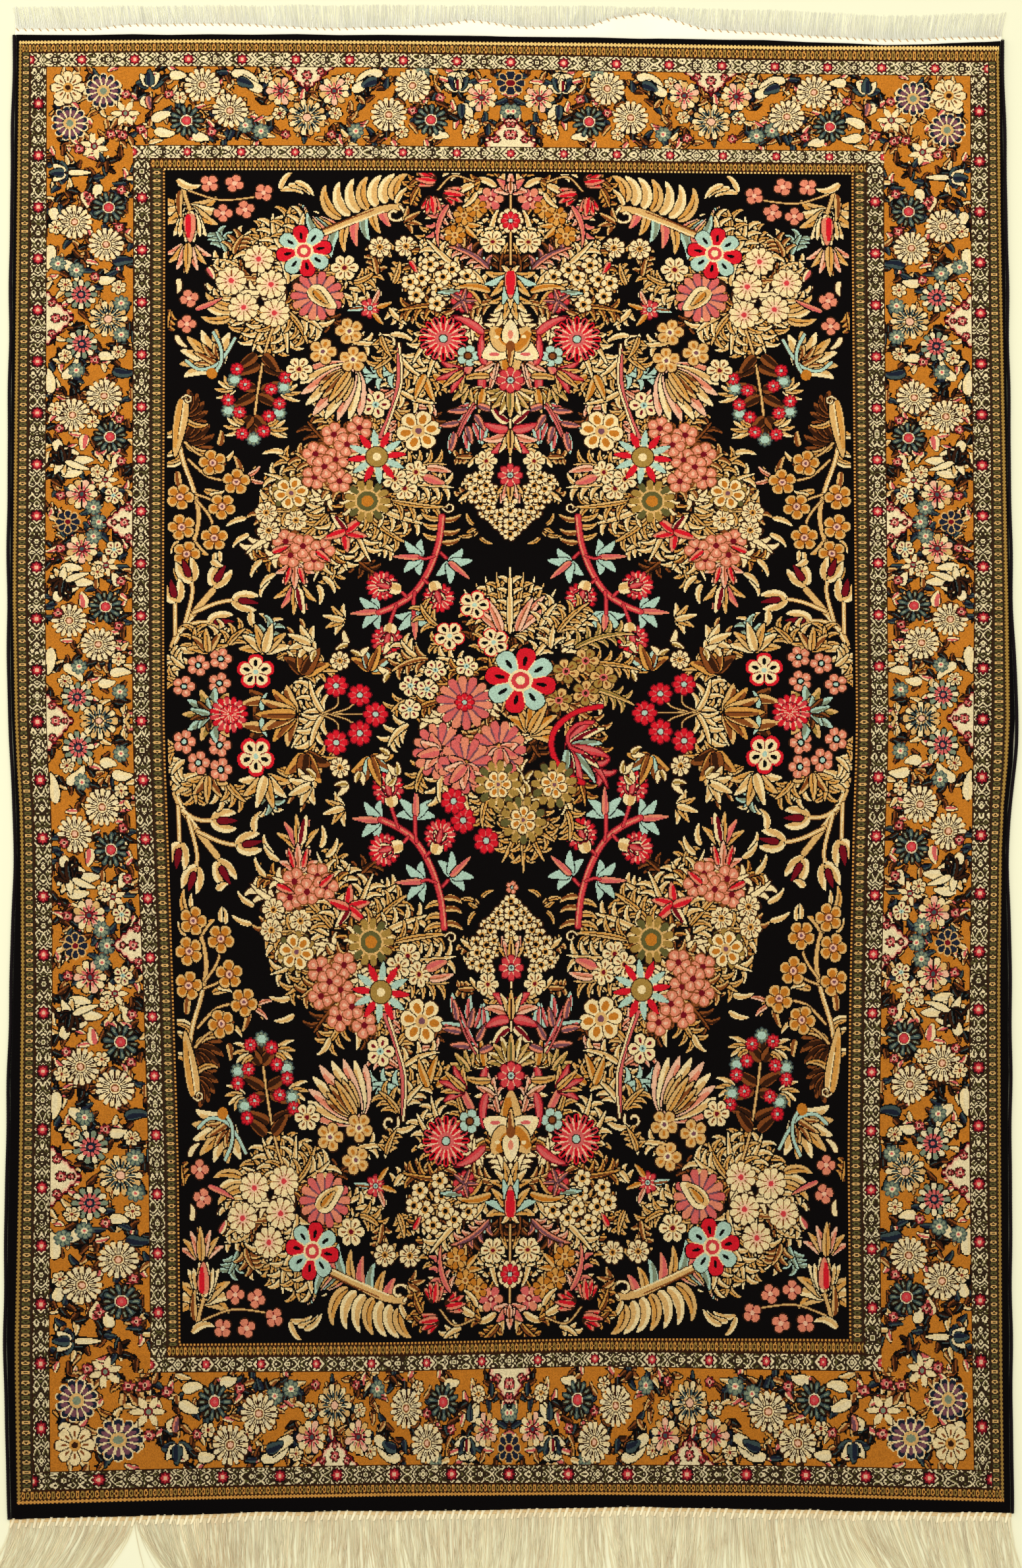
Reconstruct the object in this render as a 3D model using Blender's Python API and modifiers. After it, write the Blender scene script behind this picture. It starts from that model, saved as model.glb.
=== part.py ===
"""A hand-knotted floral rug lying flat: the knotted carpet, the overcast cord along each side, and at each end a
narrow woven web with its knotted fringe. Metres, +Z up; +Y is the end with the short fringe. The origin is on the
floor under the middle of the whole rug, fringes included."""

from math import radians, sin, tau
from random import Random

import bmesh
import bpy

MM = 0.001

# The knotted part, over its side cords, and the cloth's thickness with its pile.
WIDTH = 1.389
LENGTH = 2.034
THICKNESS = 0.008
EDGE_ROUND = 0.0022
GAP = 0.0003

# Overcast cord along each side.
CORD = 0.0056

# Outline: rows of (share of the way along, how far the edge stands out from its straight line in mm).
# The sides run from the long-fringed end up, the ends from left to right.
LEFT_EDGE = (
    (0.00, -3.0), (0.11, 2.7), (0.24, 0.0), (0.36, -5.4), (0.465, -10.9),
    (0.525, -4.5), (0.62, -1.8), (0.87, -5.9), (1.00, -10.0),
)
RIGHT_EDGE = (
    (0.00, 2.7), (0.11, 0.9), (0.24, 0.0), (0.36, 0.0), (0.465, -3.2),
    (0.525, 9.1), (0.62, 1.8), (0.87, -5.4), (1.00, -10.9),
)
TOP_EDGE = (
    (0.00, 1.8), (0.19, 2.7), (0.39, 1.8), (0.58, -1.8), (0.78, -6.4), (0.88, -11.8), (1.00, -5.4),
)
BOTTOM_EDGE = (
    (0.00, 10.0), (0.15, 5.4), (0.27, 0.0), (0.45, -1.8), (0.62, -6.4), (0.74, -3.6), (0.86, -0.9), (1.00, 1.8),
)
RIPPLE = 0.5 * MM
RIPPLES_A_SIDE = (11, 17)
OUTLINE_STEPS = 44

# Fringe: locks across each end, their width at the root as a share of their pitch, and the web's inset and depth.
LOCKS = 132
ROOT_SHARE = 0.6
LOCK_BOW = 1.4
WEB_INSET = 0.004
WEB_THICKNESS = 0.003
TOP_WEB = 0.012
BOTTOM_WEB = 0.006

# One lock: rows of (share of its length, width as a share of the pitch, height in mm); the first row is its knot.
LOCK_SECTIONS = ((0.10, 0.74, 4.2), (0.55, 0.62, 2.6), (1.00, 0.40, 1.4))

# How the locks lie: rows of (share across from the left, how far the tip lies to the right in mm, length in mm).
TOP_LOCKS = ((0.00, -5.0, 27.0), (0.30, -1.0, 30.0), (0.60, 1.0, 29.0), (1.00, 5.0, 28.0))
BOTTOM_LOCKS = (
    (0.000, -30.0, 92.0), (0.050, -34.0, 99.0), (0.105, -39.0, 102.0), (0.165, -3.0, 106.0), (0.300, 2.0, 104.0),
    (0.500, -3.0, 107.0), (0.700, 2.0, 104.0), (0.860, 14.0, 101.0), (0.940, 21.0, 99.0), (1.000, 12.0, 97.0),
)
LOCK_WAVER = 0.8 * MM
LENGTH_WAVER = 2.5 * MM

# Colours as sRGB: the pile's yarns as they mix to the eye, the side cords' wool and the fringes' cotton.
PILE_MIX = (0.52, 0.38, 0.24)
CORD_BLACK = (0.060, 0.045, 0.050)
COTTON = (0.93, 0.90, 0.78)


def through(rows, share, column=1):
    """The value at one place on a smooth line through a table's rows."""
    last = len(rows) - 2
    i = next((k for k in range(last) if share < rows[k + 1][0]), last)
    before, start, end, after = rows[max(i - 1, 0)], rows[i], rows[i + 1], rows[min(i + 2, last + 1)]
    span = end[0] - start[0]
    t = (share - start[0]) / span
    slope_in = (end[column] - before[column]) / (end[0] - before[0]) * span
    slope_out = (after[column] - start[column]) / (after[0] - start[0]) * span
    bend = (2 * t**3 - 3 * t**2 + 1) * start[column] + (3 * t**2 - 2 * t**3) * end[column]
    return bend + (t**3 - 2 * t**2 + t) * slope_in + (t**3 - t**2) * slope_out


def stands_out(rows, share):
    """How far an edge of the carpet stands out of its straight line, with the small ripple of handwork."""
    slow, quick = RIPPLES_A_SIDE
    ripple = RIPPLE * (sin(tau * slow * share) + 0.6 * sin(tau * quick * share + 1.3))
    return through(rows, share) * MM + ripple


def left_side(share):
    return -WIDTH / 2 - stands_out(LEFT_EDGE, share)


def right_side(share):
    return WIDTH / 2 + stands_out(RIGHT_EDGE, share)


def top_end(share):
    return LENGTH / 2 + stands_out(TOP_EDGE, share)


def bottom_end(share):
    return -LENGTH / 2 - stands_out(BOTTOM_EDGE, share)


def on_carpet(across, up, inset=0.0):
    """The place on the uneven carpet at these shares of its width and length, inset from both sides."""
    left, right = left_side(up) + inset, right_side(up) - inset
    bottom, top = bottom_end(across), top_end(across)
    return left + (right - left) * across, bottom + (top - bottom) * up


def end_line(up, x):
    """Where the carpet's own faceted end lies at x: up is 0 for the long-fringed end and 1 for the other."""
    line = [on_carpet(k / OUTLINE_STEPS, up, CORD + GAP) for k in range(OUTLINE_STEPS + 1)]
    x = min(max(x, line[0][0]), line[-1][0])
    start, end = next((a, b) for a, b in zip(line, line[1:]) if x <= b[0])
    return start[1] + (end[1] - start[1]) * (x - start[0]) / (end[0] - start[0])


def yarn(name, colour, roughness):
    """A Principled material in one yarn colour."""
    material = bpy.data.materials.new(name)
    material.use_nodes = True
    shader = next(n for n in material.node_tree.nodes if n.type == "BSDF_PRINCIPLED")
    linear = [((c + 0.055) / 1.055) ** 2.4 if c > 0.04045 else c / 12.92 for c in colour]
    shader.inputs["Base Color"].default_value = (*linear, 1)
    shader.inputs["Roughness"].default_value = roughness
    shader.inputs["Metallic"].default_value = 0.0
    return material


def poly_curve(name, points, cyclic, flat):
    """A curve object whose one POLY spline runs through these points."""
    curve = bpy.data.curves.new(name, "CURVE")
    curve.dimensions = "2D" if flat else "3D"
    spline = curve.splines.new("POLY")
    spline.points.add(len(points) - 1)
    for spot, (x, y) in zip(spline.points, points):
        spot.co = (x, y, 0, 1)
    spline.use_cyclic_u = cyclic
    made = bpy.data.objects.new(name, curve)
    rug.objects.link(made)
    return made


def make_carpet():
    """The knotted cloth, one flat slab with the uneven outline and a rounded rim."""
    steps = [k / OUTLINE_STEPS for k in range(OUTLINE_STEPS)]
    inset = CORD + GAP
    outline = [on_carpet(s, 0, inset) for s in steps]
    outline += [on_carpet(1, s, inset) for s in steps]
    outline += [on_carpet(1 - s, 1, inset) for s in steps]
    outline += [on_carpet(0, 1 - s, inset) for s in steps]
    carpet = poly_curve("carpet", outline, cyclic=True, flat=True)
    carpet.data.fill_mode = "BOTH"
    carpet.data.extrude = THICKNESS / 2
    carpet.location.z = THICKNESS / 2
    weld = carpet.modifiers.new("join caps", "WELD")
    weld.merge_threshold = 0.0001
    rounding = carpet.modifiers.new("round rim", "BEVEL")
    rounding.width = EDGE_ROUND
    rounding.segments = 2
    rounding.limit_method = "ANGLE"
    rounding.angle_limit = radians(60)
    carpet.data.materials.append(yarn("knotted wool", PILE_MIX, 0.85))
    return carpet


def make_side_cord(name, side_x, inward):
    """The overcast cord that runs along one side, resting on the floor beside the carpet."""
    shares = [k / OUTLINE_STEPS for k in range(OUTLINE_STEPS + 1)]
    across = 0 if inward > 0 else 1
    points = [(side_x(s) + inward * CORD / 2, on_carpet(across, s)[1]) for s in shares]
    cord = poly_curve(name, points, cyclic=False, flat=False)
    cord.data.bevel_depth = CORD / 2
    cord.data.bevel_resolution = 2
    cord.data.use_fill_caps = True
    cord.location.z = CORD / 2
    cord.data.materials.append(yarn(name + " wool", CORD_BLACK, 0.8))
    return cord


def grow_lock(bm, root, outward, lean, length, pitch):
    """Extrudes one lock of warp ends, lying on the floor, from its root face on the web."""
    middle = root.calc_center_median()
    corners = [(1 if v.co.x > middle.x else -1, v.co.z > middle.z) for v in root.verts]
    face = root
    for share, width, height in LOCK_SECTIONS:
        face = bmesh.ops.extrude_discrete_faces(bm, faces=[face])["faces"][0]
        x = middle.x + lean * share**LOCK_BOW
        y = middle.y + outward * length * share
        for vert, (side, above) in zip(face.verts, corners):
            vert.co = (x + side * width * pitch / 2, y, height * MM if above else 0)


def make_fringe(name, up, web, rows, seed):
    """An end web and its locks, one closed body: the web is a bent strip, and each lock grows from its outer edge."""
    outward = 1 if up else -1
    chance = Random(seed)
    columns = 2 * LOCKS + 1
    bm = bmesh.new()
    bmesh.ops.create_grid(bm, x_segments=columns, y_segments=1, size=0.5)
    left, right = left_side(up) + WEB_INSET, right_side(up) - WEB_INSET
    pitch = (right - left) / LOCKS
    for vert in bm.verts:
        column = round((vert.co.x + 0.5) * columns)
        root_side = 1 if column % 2 else -1
        from_left = (column // 2 + root_side * (1 - ROOT_SHARE) / 2) * pitch
        from_left = min(max(from_left, 0.0), right - left)
        depth = web if vert.co.y * outward > 0 else 0
        vert.co = (left + from_left, end_line(up, left + from_left) + outward * (GAP + depth), 0)
    raised = bmesh.ops.extrude_face_region(bm, geom=bm.faces[:])["geom"]
    for vert in raised:
        if isinstance(vert, bmesh.types.BMVert):
            vert.co.z = WEB_THICKNESS
    bmesh.ops.recalc_face_normals(bm, faces=bm.faces[:])
    bm.normal_update()
    edge = [f for f in bm.faces if f.normal.y * outward > 0.5]
    edge.sort(key=lambda f: f.calc_center_median().x)
    for k, root in enumerate(edge[1::2]):
        share = (k + 0.5) / LOCKS
        lean = through(rows, share) * MM + chance.uniform(-LOCK_WAVER, LOCK_WAVER)
        length = through(rows, share, column=2) * MM + chance.uniform(-LENGTH_WAVER, LENGTH_WAVER)
        grow_lock(bm, root, outward, lean, length, pitch)
    mesh = bpy.data.meshes.new(name)
    bm.to_mesh(mesh)
    bm.free()
    mesh.materials.append(yarn(name + " cotton", COTTON, 0.75))
    fringe = bpy.data.objects.new(name, mesh)
    rug.objects.link(fringe)
    return fringe


def centre_on_origin(pieces):
    """Moves the pieces so that the origin lies under the middle of the whole rug."""
    bpy.context.view_layer.update()
    seen = bpy.context.evaluated_depsgraph_get()
    corners = [p.matrix_world @ v.co for p in pieces for v in p.evaluated_get(seen).to_mesh().vertices]
    for axis in (0, 1):
        middle = (min(c[axis] for c in corners) + max(c[axis] for c in corners)) / 2
        for piece in pieces:
            piece.location[axis] -= middle


for old in list(bpy.data.objects):
    bpy.data.objects.remove(old, do_unlink=True)
rug = bpy.data.collections.new("floral rug")
bpy.context.scene.collection.children.link(rug)
centre_on_origin([
    make_carpet(),
    make_side_cord("selvedge_left", left_side, 1),
    make_side_cord("selvedge_right", right_side, -1),
    make_fringe("fringe_top", 1, TOP_WEB, TOP_LOCKS, seed=3),
    make_fringe("fringe_bottom", 0, BOTTOM_WEB, BOTTOM_LOCKS, seed=5),
])
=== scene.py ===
"""A hand-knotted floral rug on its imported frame: pile knotted to a weaver's cartoon, its foundation, the overcast side
cords and the two fringes. Metres, +Z up; +Y is the end with the short fringe."""

from math import atan2, ceil, cos, hypot, pi, radians, sin, sqrt, tau

import bpy
import numpy as np
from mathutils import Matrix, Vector


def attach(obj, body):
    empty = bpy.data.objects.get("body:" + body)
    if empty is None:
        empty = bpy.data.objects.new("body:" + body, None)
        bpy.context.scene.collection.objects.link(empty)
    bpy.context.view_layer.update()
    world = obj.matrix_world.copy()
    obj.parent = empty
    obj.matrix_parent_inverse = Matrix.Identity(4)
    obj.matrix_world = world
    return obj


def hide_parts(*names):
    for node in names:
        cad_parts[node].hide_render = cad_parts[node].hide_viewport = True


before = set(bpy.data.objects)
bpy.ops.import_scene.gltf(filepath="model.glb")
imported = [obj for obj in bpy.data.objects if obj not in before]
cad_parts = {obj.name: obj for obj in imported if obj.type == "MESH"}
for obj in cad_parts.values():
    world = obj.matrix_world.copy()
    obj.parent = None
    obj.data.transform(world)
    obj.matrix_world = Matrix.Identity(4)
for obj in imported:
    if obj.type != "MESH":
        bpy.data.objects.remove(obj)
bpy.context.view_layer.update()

# ---------------------------------------------------------------------------------------------------------------
# Studio. A pale plain floor, a wide soft light overhead with a weaker one from the side, and a long lens that
# looks straight down on the middle of the picture, a little above the middle of the rug.

MM = 0.001
SQUARE = 0.908 * MM             # the cartoon's square, in which every place on the rug below is given
AXIS_SQUARE = 772.0             # squares from the cartoon's left margin to the rug's own straight middle line
MIDDLE_SQUARE = 1175.0          # and from its top margin down to the middle of the rug's knotted part
SHIFT = (5.52 * MM, 35.81 * MM)  # how far the part's origin lies from those two lines
TOP = 8.0 * MM                  # the top of the pile over the floor
PICTURE = (1551, 2380)
LENS, SENSOR = 100.0, 36.0


def on_rug(x, y):
    """Metres in the part's frame for a place on the cartoon, x from its left and y down from its top."""
    return (x - AXIS_SQUARE) * SQUARE + SHIFT[0], (MIDDLE_SQUARE - y) * SQUARE + SHIFT[1]


def linear(colour):
    """Linear light for an sRGB colour given from 0 to 255."""
    return [((c / 255 + 0.055) / 1.055) ** 2.4 if c > 10.3 else c / 255 / 12.92 for c in colour]


def principled(name, colour, roughness, sheen=0.0):
    """A material with one Principled shader: its node tree and that shader come back with it."""
    material = bpy.data.materials.new(name)
    material.use_nodes = True
    tree = material.node_tree
    shader = next(n for n in tree.nodes if n.type == "BSDF_PRINCIPLED")
    shader.inputs["Base Color"].default_value = (*linear(colour), 1)
    shader.inputs["Roughness"].default_value = roughness
    shader.inputs["Sheen Weight"].default_value = sheen
    return material, tree, shader


def in_scene(name, data):
    """A new object of the scene, at the origin."""
    made = bpy.data.objects.new(name, data)
    bpy.context.scene.collection.objects.link(made)
    return made


def plain_mesh(name, points, faces, edges=()):
    """A mesh object at the origin from lists of points, faces and loose edges."""
    mesh = bpy.data.meshes.new(name)
    mesh.from_pydata(points, edges, faces)
    return in_scene(name, mesh)


def lamp(name, place, size, watts, colour):
    """A rectangular area lamp that points at the middle of the floor."""
    data = bpy.data.lights.new(name, "AREA")
    data.shape = "RECTANGLE"
    data.size, data.size_y = size
    data.energy = watts
    data.color = colour
    made = in_scene(name, data)
    made.location = place
    made.rotation_euler = (-Vector(place)).to_track_quat("-Z", "Y").to_euler()


middle_x, middle_y = on_rug(PICTURE[0] / 2, PICTURE[1] / 2)
camera = in_scene("camera", bpy.data.cameras.new("camera"))
camera.data.lens = LENS
camera.data.sensor_width = SENSOR
camera.location = (middle_x, middle_y, TOP + PICTURE[1] * SQUARE * LENS / SENSOR)
bpy.context.scene.camera = camera
bpy.context.scene.view_settings.view_transform = "Standard"

floor = plain_mesh("floor", [(-9, -9, 0), (9, -9, 0), (9, 9, 0), (-9, 9, 0)], [(0, 1, 2, 3)])
floor.data.materials.append(principled("pale floor", (236, 235, 203), 0.9)[0])
lamp("overhead", (0.2, 0.5, 4.2), (4.4, 4.4), 150, (1.0, 0.985, 0.95))
lamp("side", (-3.2, 1.4, 2.2), (2.0, 2.0), 34, (1.0, 0.99, 0.97))
world = bpy.data.worlds.new("studio")
world.use_nodes = True
sky = world.node_tree.nodes["Background"].inputs
sky["Color"].default_value = (1.0, 0.96, 0.88, 1)
sky["Strength"].default_value = 0.5
bpy.context.scene.world = world

# ---------------------------------------------------------------------------------------------------------------
# The cartoon: the pattern as a weaver has it, one yarn for each knot. The knots of each band are counted, so its
# lines bow with the rug. It is painted from the ground up, motif by motif, each one drawn by its own rule.

YARNS = {
    "night": (9, 6, 6), "umber": (54, 27, 12), "brown": (134, 72, 30), "ochre": (196, 120, 36),
    "gold": (214, 152, 70), "tan": (222, 176, 106), "cream": (245, 220, 162), "ivory": (240, 221, 172),
    "salmon": (226, 134, 102), "rose": (214, 98, 92), "coral": (212, 62, 66), "red": (214, 26, 40),
    "wine": (116, 14, 26), "mint": (176, 206, 184), "sage": (128, 140, 112), "olive": (166, 130, 60),
    "slate": (62, 78, 76), "navy": (28, 33, 48), "bead": (236, 198, 118), "plum": (120, 74, 84),
    "blush": (240, 186, 150), "moss": (98, 92, 48), "pine": (50, 36, 22),
}
YARN = {name: k for k, name in enumerate(YARNS)}
KNOT = 1.40                     # squares of the cartoon to a knot

# Knots in each band from edge to edge: black margin, beads, outer guard, border, inner guard with its lines, field.
COLUMNS = (5, 16, 20, 94, 37, 372, 372, 37, 94, 20, 16, 5)
ROWS = (6, 14, 18, 90, 32, 640, 640, 32, 90, 20, 14, 14)
COLUMN_AT = np.concatenate([[0], np.cumsum(COLUMNS)])
ROW_AT = np.concatenate([[0], np.cumsum(ROWS)])
WIDE, TALL = int(COLUMN_AT[-1]), int(ROW_AT[-1])
MIDDLE_COLUMN, MIDDLE_ROW = WIDE // 2, int(ROW_AT[6])

# Where the bands' lines run, in squares: across at nine heights, and down at six places from left to right.
HEIGHTS = (60, 350, 900, 1120, 1250, 1500, 1750, 2050, 2300)
LINES_ACROSS = (
    (29, 25, 19, 23, 31, 32, 29, 22, 26), (46, 45, 41, 43, 51, 53, 51, 48, 50), (71, 71, 69, 71, 79, 80, 77, 75, 77),
    (201, 202, 200, 201, 206, 217, 225, 228, 228), (253, 255, 253, 254, 259, 267, 275, 278, 278),
    (775, 775, 774, 774, 775, 776, 775, 773, 772), (1288, 1288, 1293, 1295, 1290, 1285, 1282, 1285, 1285),
    (1341, 1342, 1347, 1349, 1344, 1338, 1335, 1338, 1338), (1472, 1473, 1478, 1477, 1475, 1471, 1471, 1475, 1479),
    (1499, 1501, 1507, 1506, 1503, 1499, 1499, 1502, 1506),
    (1516, 1519, 1530, 1533, 1521, 1518, 1519, 1521, 1524),
)
PLACES = (20, 300, 600, 900, 1200, 1530)
LINES_DOWN = (
    (62, 60, 62, 65, 70, 70), (80, 78, 80, 85, 91, 94), (102, 101, 103, 108, 113, 116), (220, 220, 221, 224, 228, 230),
    (262, 262, 262, 265, 268, 270), (1094, 1094, 1092, 1090, 1090, 1090), (2036, 2035, 2033, 2027, 2027, 2030),
    (2086, 2083, 2082, 2074, 2080, 2085), (2235, 2228, 2223, 2223, 2224, 2232), (2264, 2257, 2252, 2252, 2253, 2261),
    (2284, 2276, 2271, 2269, 2271, 2280),
)

# The knotted part's own outline, as in the part: rows of (share along, mm outwards).
LEFT_EDGE = ((0.00, -3.0), (0.11, 2.7), (0.24, 0.0), (0.36, -5.4), (0.465, -10.9), (0.525, -4.5), (0.62, -1.8),
             (0.87, -5.9), (1.00, -10.0))
RIGHT_EDGE = ((0.00, 2.7), (0.11, 0.9), (0.24, 0.0), (0.36, 0.0), (0.465, -3.2), (0.525, 9.1), (0.62, 1.8),
              (0.87, -5.4), (1.00, -10.9))
TOP_EDGE = ((0.00, 1.8), (0.19, 2.7), (0.39, 1.8), (0.58, -1.8), (0.78, -6.4), (0.88, -11.8), (1.00, -5.4))
BOTTOM_EDGE = ((0.00, 10.0), (0.15, 5.4), (0.27, 0.0), (0.45, -1.8), (0.62, -6.4), (0.74, -3.6), (0.86, -0.9),
               (1.00, 1.8))
WIDTH, LENGTH = 1389.0, 2034.0  # of the knotted part with its side cords, in mm
CORD, GAP, RIPPLE = 5.6, 0.3, 0.5


def through(rows, share):
    """The value at one place on a smooth line through a table's rows."""
    last = len(rows) - 2
    i = next((k for k in range(last) if share < rows[k + 1][0]), last)
    before, start, end, after = rows[max(i - 1, 0)], rows[i], rows[i + 1], rows[min(i + 2, last + 1)]
    span = end[0] - start[0]
    t = (share - start[0]) / span
    slope_in = (end[1] - before[1]) / (end[0] - before[0]) * span
    slope_out = (after[1] - start[1]) / (after[0] - start[0]) * span
    bend = (2 * t**3 - 3 * t**2 + 1) * start[1] + (3 * t**2 - 2 * t**3) * end[1]
    return bend + (t**3 - 2 * t**2 + t) * slope_in + (t**3 - t**2) * slope_out


def stands_out(rows, share):
    """How far an edge stands out of its straight line in mm, with the small ripple of handwork."""
    return through(rows, share) + RIPPLE * (sin(tau * 11 * share) + 0.6 * sin(tau * 17 * share + 1.3))


SHARES = np.linspace(0, 1, 133)
SIDE_LEFT = np.array([-WIDTH / 2 - stands_out(LEFT_EDGE, s) for s in SHARES]) * MM
SIDE_RIGHT = np.array([WIDTH / 2 + stands_out(RIGHT_EDGE, s) for s in SHARES]) * MM
END_TOP = np.array([LENGTH / 2 + stands_out(TOP_EDGE, s) for s in SHARES]) * MM
END_BOTTOM = np.array([-LENGTH / 2 - stands_out(BOTTOM_EDGE, s) for s in SHARES]) * MM
PX = 1 / SQUARE


def lines_across(y):
    """The columns' thirteen lines at heights y."""
    up = (MIDDLE_SQUARE - y) * SQUARE / (LENGTH * MM) + 0.5
    left = AXIS_SQUARE + (np.interp(up, SHARES, SIDE_LEFT) + (CORD + GAP) * MM) * PX
    right = AXIS_SQUARE + (np.interp(up, SHARES, SIDE_RIGHT) - (CORD + GAP) * MM) * PX
    return np.stack([left, *(np.interp(y, HEIGHTS, line) for line in LINES_ACROSS), right])


def lines_down(x):
    """The rows' thirteen lines at places x."""
    share = (x - AXIS_SQUARE) * SQUARE / (WIDTH * MM) + 0.5
    top = MIDDLE_SQUARE - np.interp(share, SHARES, END_TOP) * PX
    bottom = MIDDLE_SQUARE - np.interp(share, SHARES, END_BOTTOM) * PX
    return np.stack([top, *(np.interp(x, PLACES, line) for line in LINES_DOWN), bottom])


def between(lines, stops, at):
    """The place of knot number at, when lines gives where the knots numbered stops lie."""
    k = np.clip(np.searchsorted(stops, at, side="right") - 1, 0, len(stops) - 2)
    share = (at - stops[k]) / (stops[k + 1] - stops[k])
    start = np.take_along_axis(lines, k[None], 0)[0]
    end = np.take_along_axis(lines, k[None] + 1, 0)[0]
    return start + (end - start) * share


def place_of(columns, rows):
    """Where knots lie on the cartoon, in squares."""
    columns, rows = np.asarray(columns, float), np.asarray(rows, float)
    x, y = 10 + columns * KNOT, 53 + rows * KNOT
    for _ in range(4):
        x, y = between(lines_across(y), COLUMN_AT, columns), between(lines_down(x), ROW_AT, rows)
    return x, y


def knot_at(x, y):
    """The column and row of a place on the cartoon."""
    across, down = lines_across(np.array(float(y))), lines_down(np.array(float(x)))
    return np.interp(x, across, COLUMN_AT), np.interp(y, down, ROW_AT)


cartoon = np.full((TALL, WIDE), YARN["night"], np.uint8)
turned = {"down": 1, "lift": 0.0}      # how the next motifs lie: as drawn, or turned over and lifted by some knots


def patch(x, y, reach):
    """The knots within reach of a place, and how far right and down each lies from it in squares."""
    u, v = knot_at(x, y)
    if abs(u - MIDDLE_COLUMN) < 1:
        u = MIDDLE_COLUMN
    if turned["down"] < 0:
        v = 2 * MIDDLE_ROW - v + turned["lift"]
    n = reach / KNOT + 1
    c0, c1 = max(int(u - n), 0), max(min(int(u + n) + 1, WIDE), 0)
    r0, r1 = max(int(v - n), 0), max(min(int(v + n) + 1, TALL), 0)
    dx = (np.arange(c0, c1) + 0.5 - u) * KNOT
    dy = (np.arange(r0, r1) + 0.5 - v) * KNOT * turned["down"]
    return cartoon[r0:r1, c0:c1], dx[None, :], dy[:, None]


def flower(x, y, r, kind, turn=0.0):
    """A flower from its kind: petals round a heart, each with its own yarns."""
    petals, notch, yarns, rim, vein, drop, hearts = FLOWERS[kind]
    area, dx, dy = patch(x, y, r + 3)
    far = np.hypot(dx, dy)
    angle = (np.arctan2(dy, dx) - radians(turn)) * petals / tau
    petal = np.floor(angle + 0.5)
    aside = (angle - petal) * 2                      # -1 to 1 across a petal
    edge = r * (1 - notch * np.abs(aside) ** (1.2 if notch > 0.5 else 3))     # deep notches leave points
    inside = far < edge
    if rim:
        area[far < edge + 2.0] = YARN[rim]
    index = petal.astype(int) % petals
    for k, yarn in enumerate(yarns):
        area[inside & (index % len(yarns) == k)] = YARN[yarn]
    if vein:
        gap = far * np.sin((1 - np.abs(aside)) * pi / petals)
        area[inside & (gap < np.minimum(1.55 if petals > 11 else 0.85, far / petals))] = YARN[vein]
    if drop:
        yarn, at, long, wide = drop
        along, across = far * np.cos(aside * pi / petals), far * np.sin(aside * pi / petals)
        area[((along - at * r) / (long * r)) ** 2 + (across / (wide * r)) ** 2 < 1] = YARN[yarn]
    for share, yarn in hearts:
        area[far < share * r] = YARN[yarn]


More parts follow.
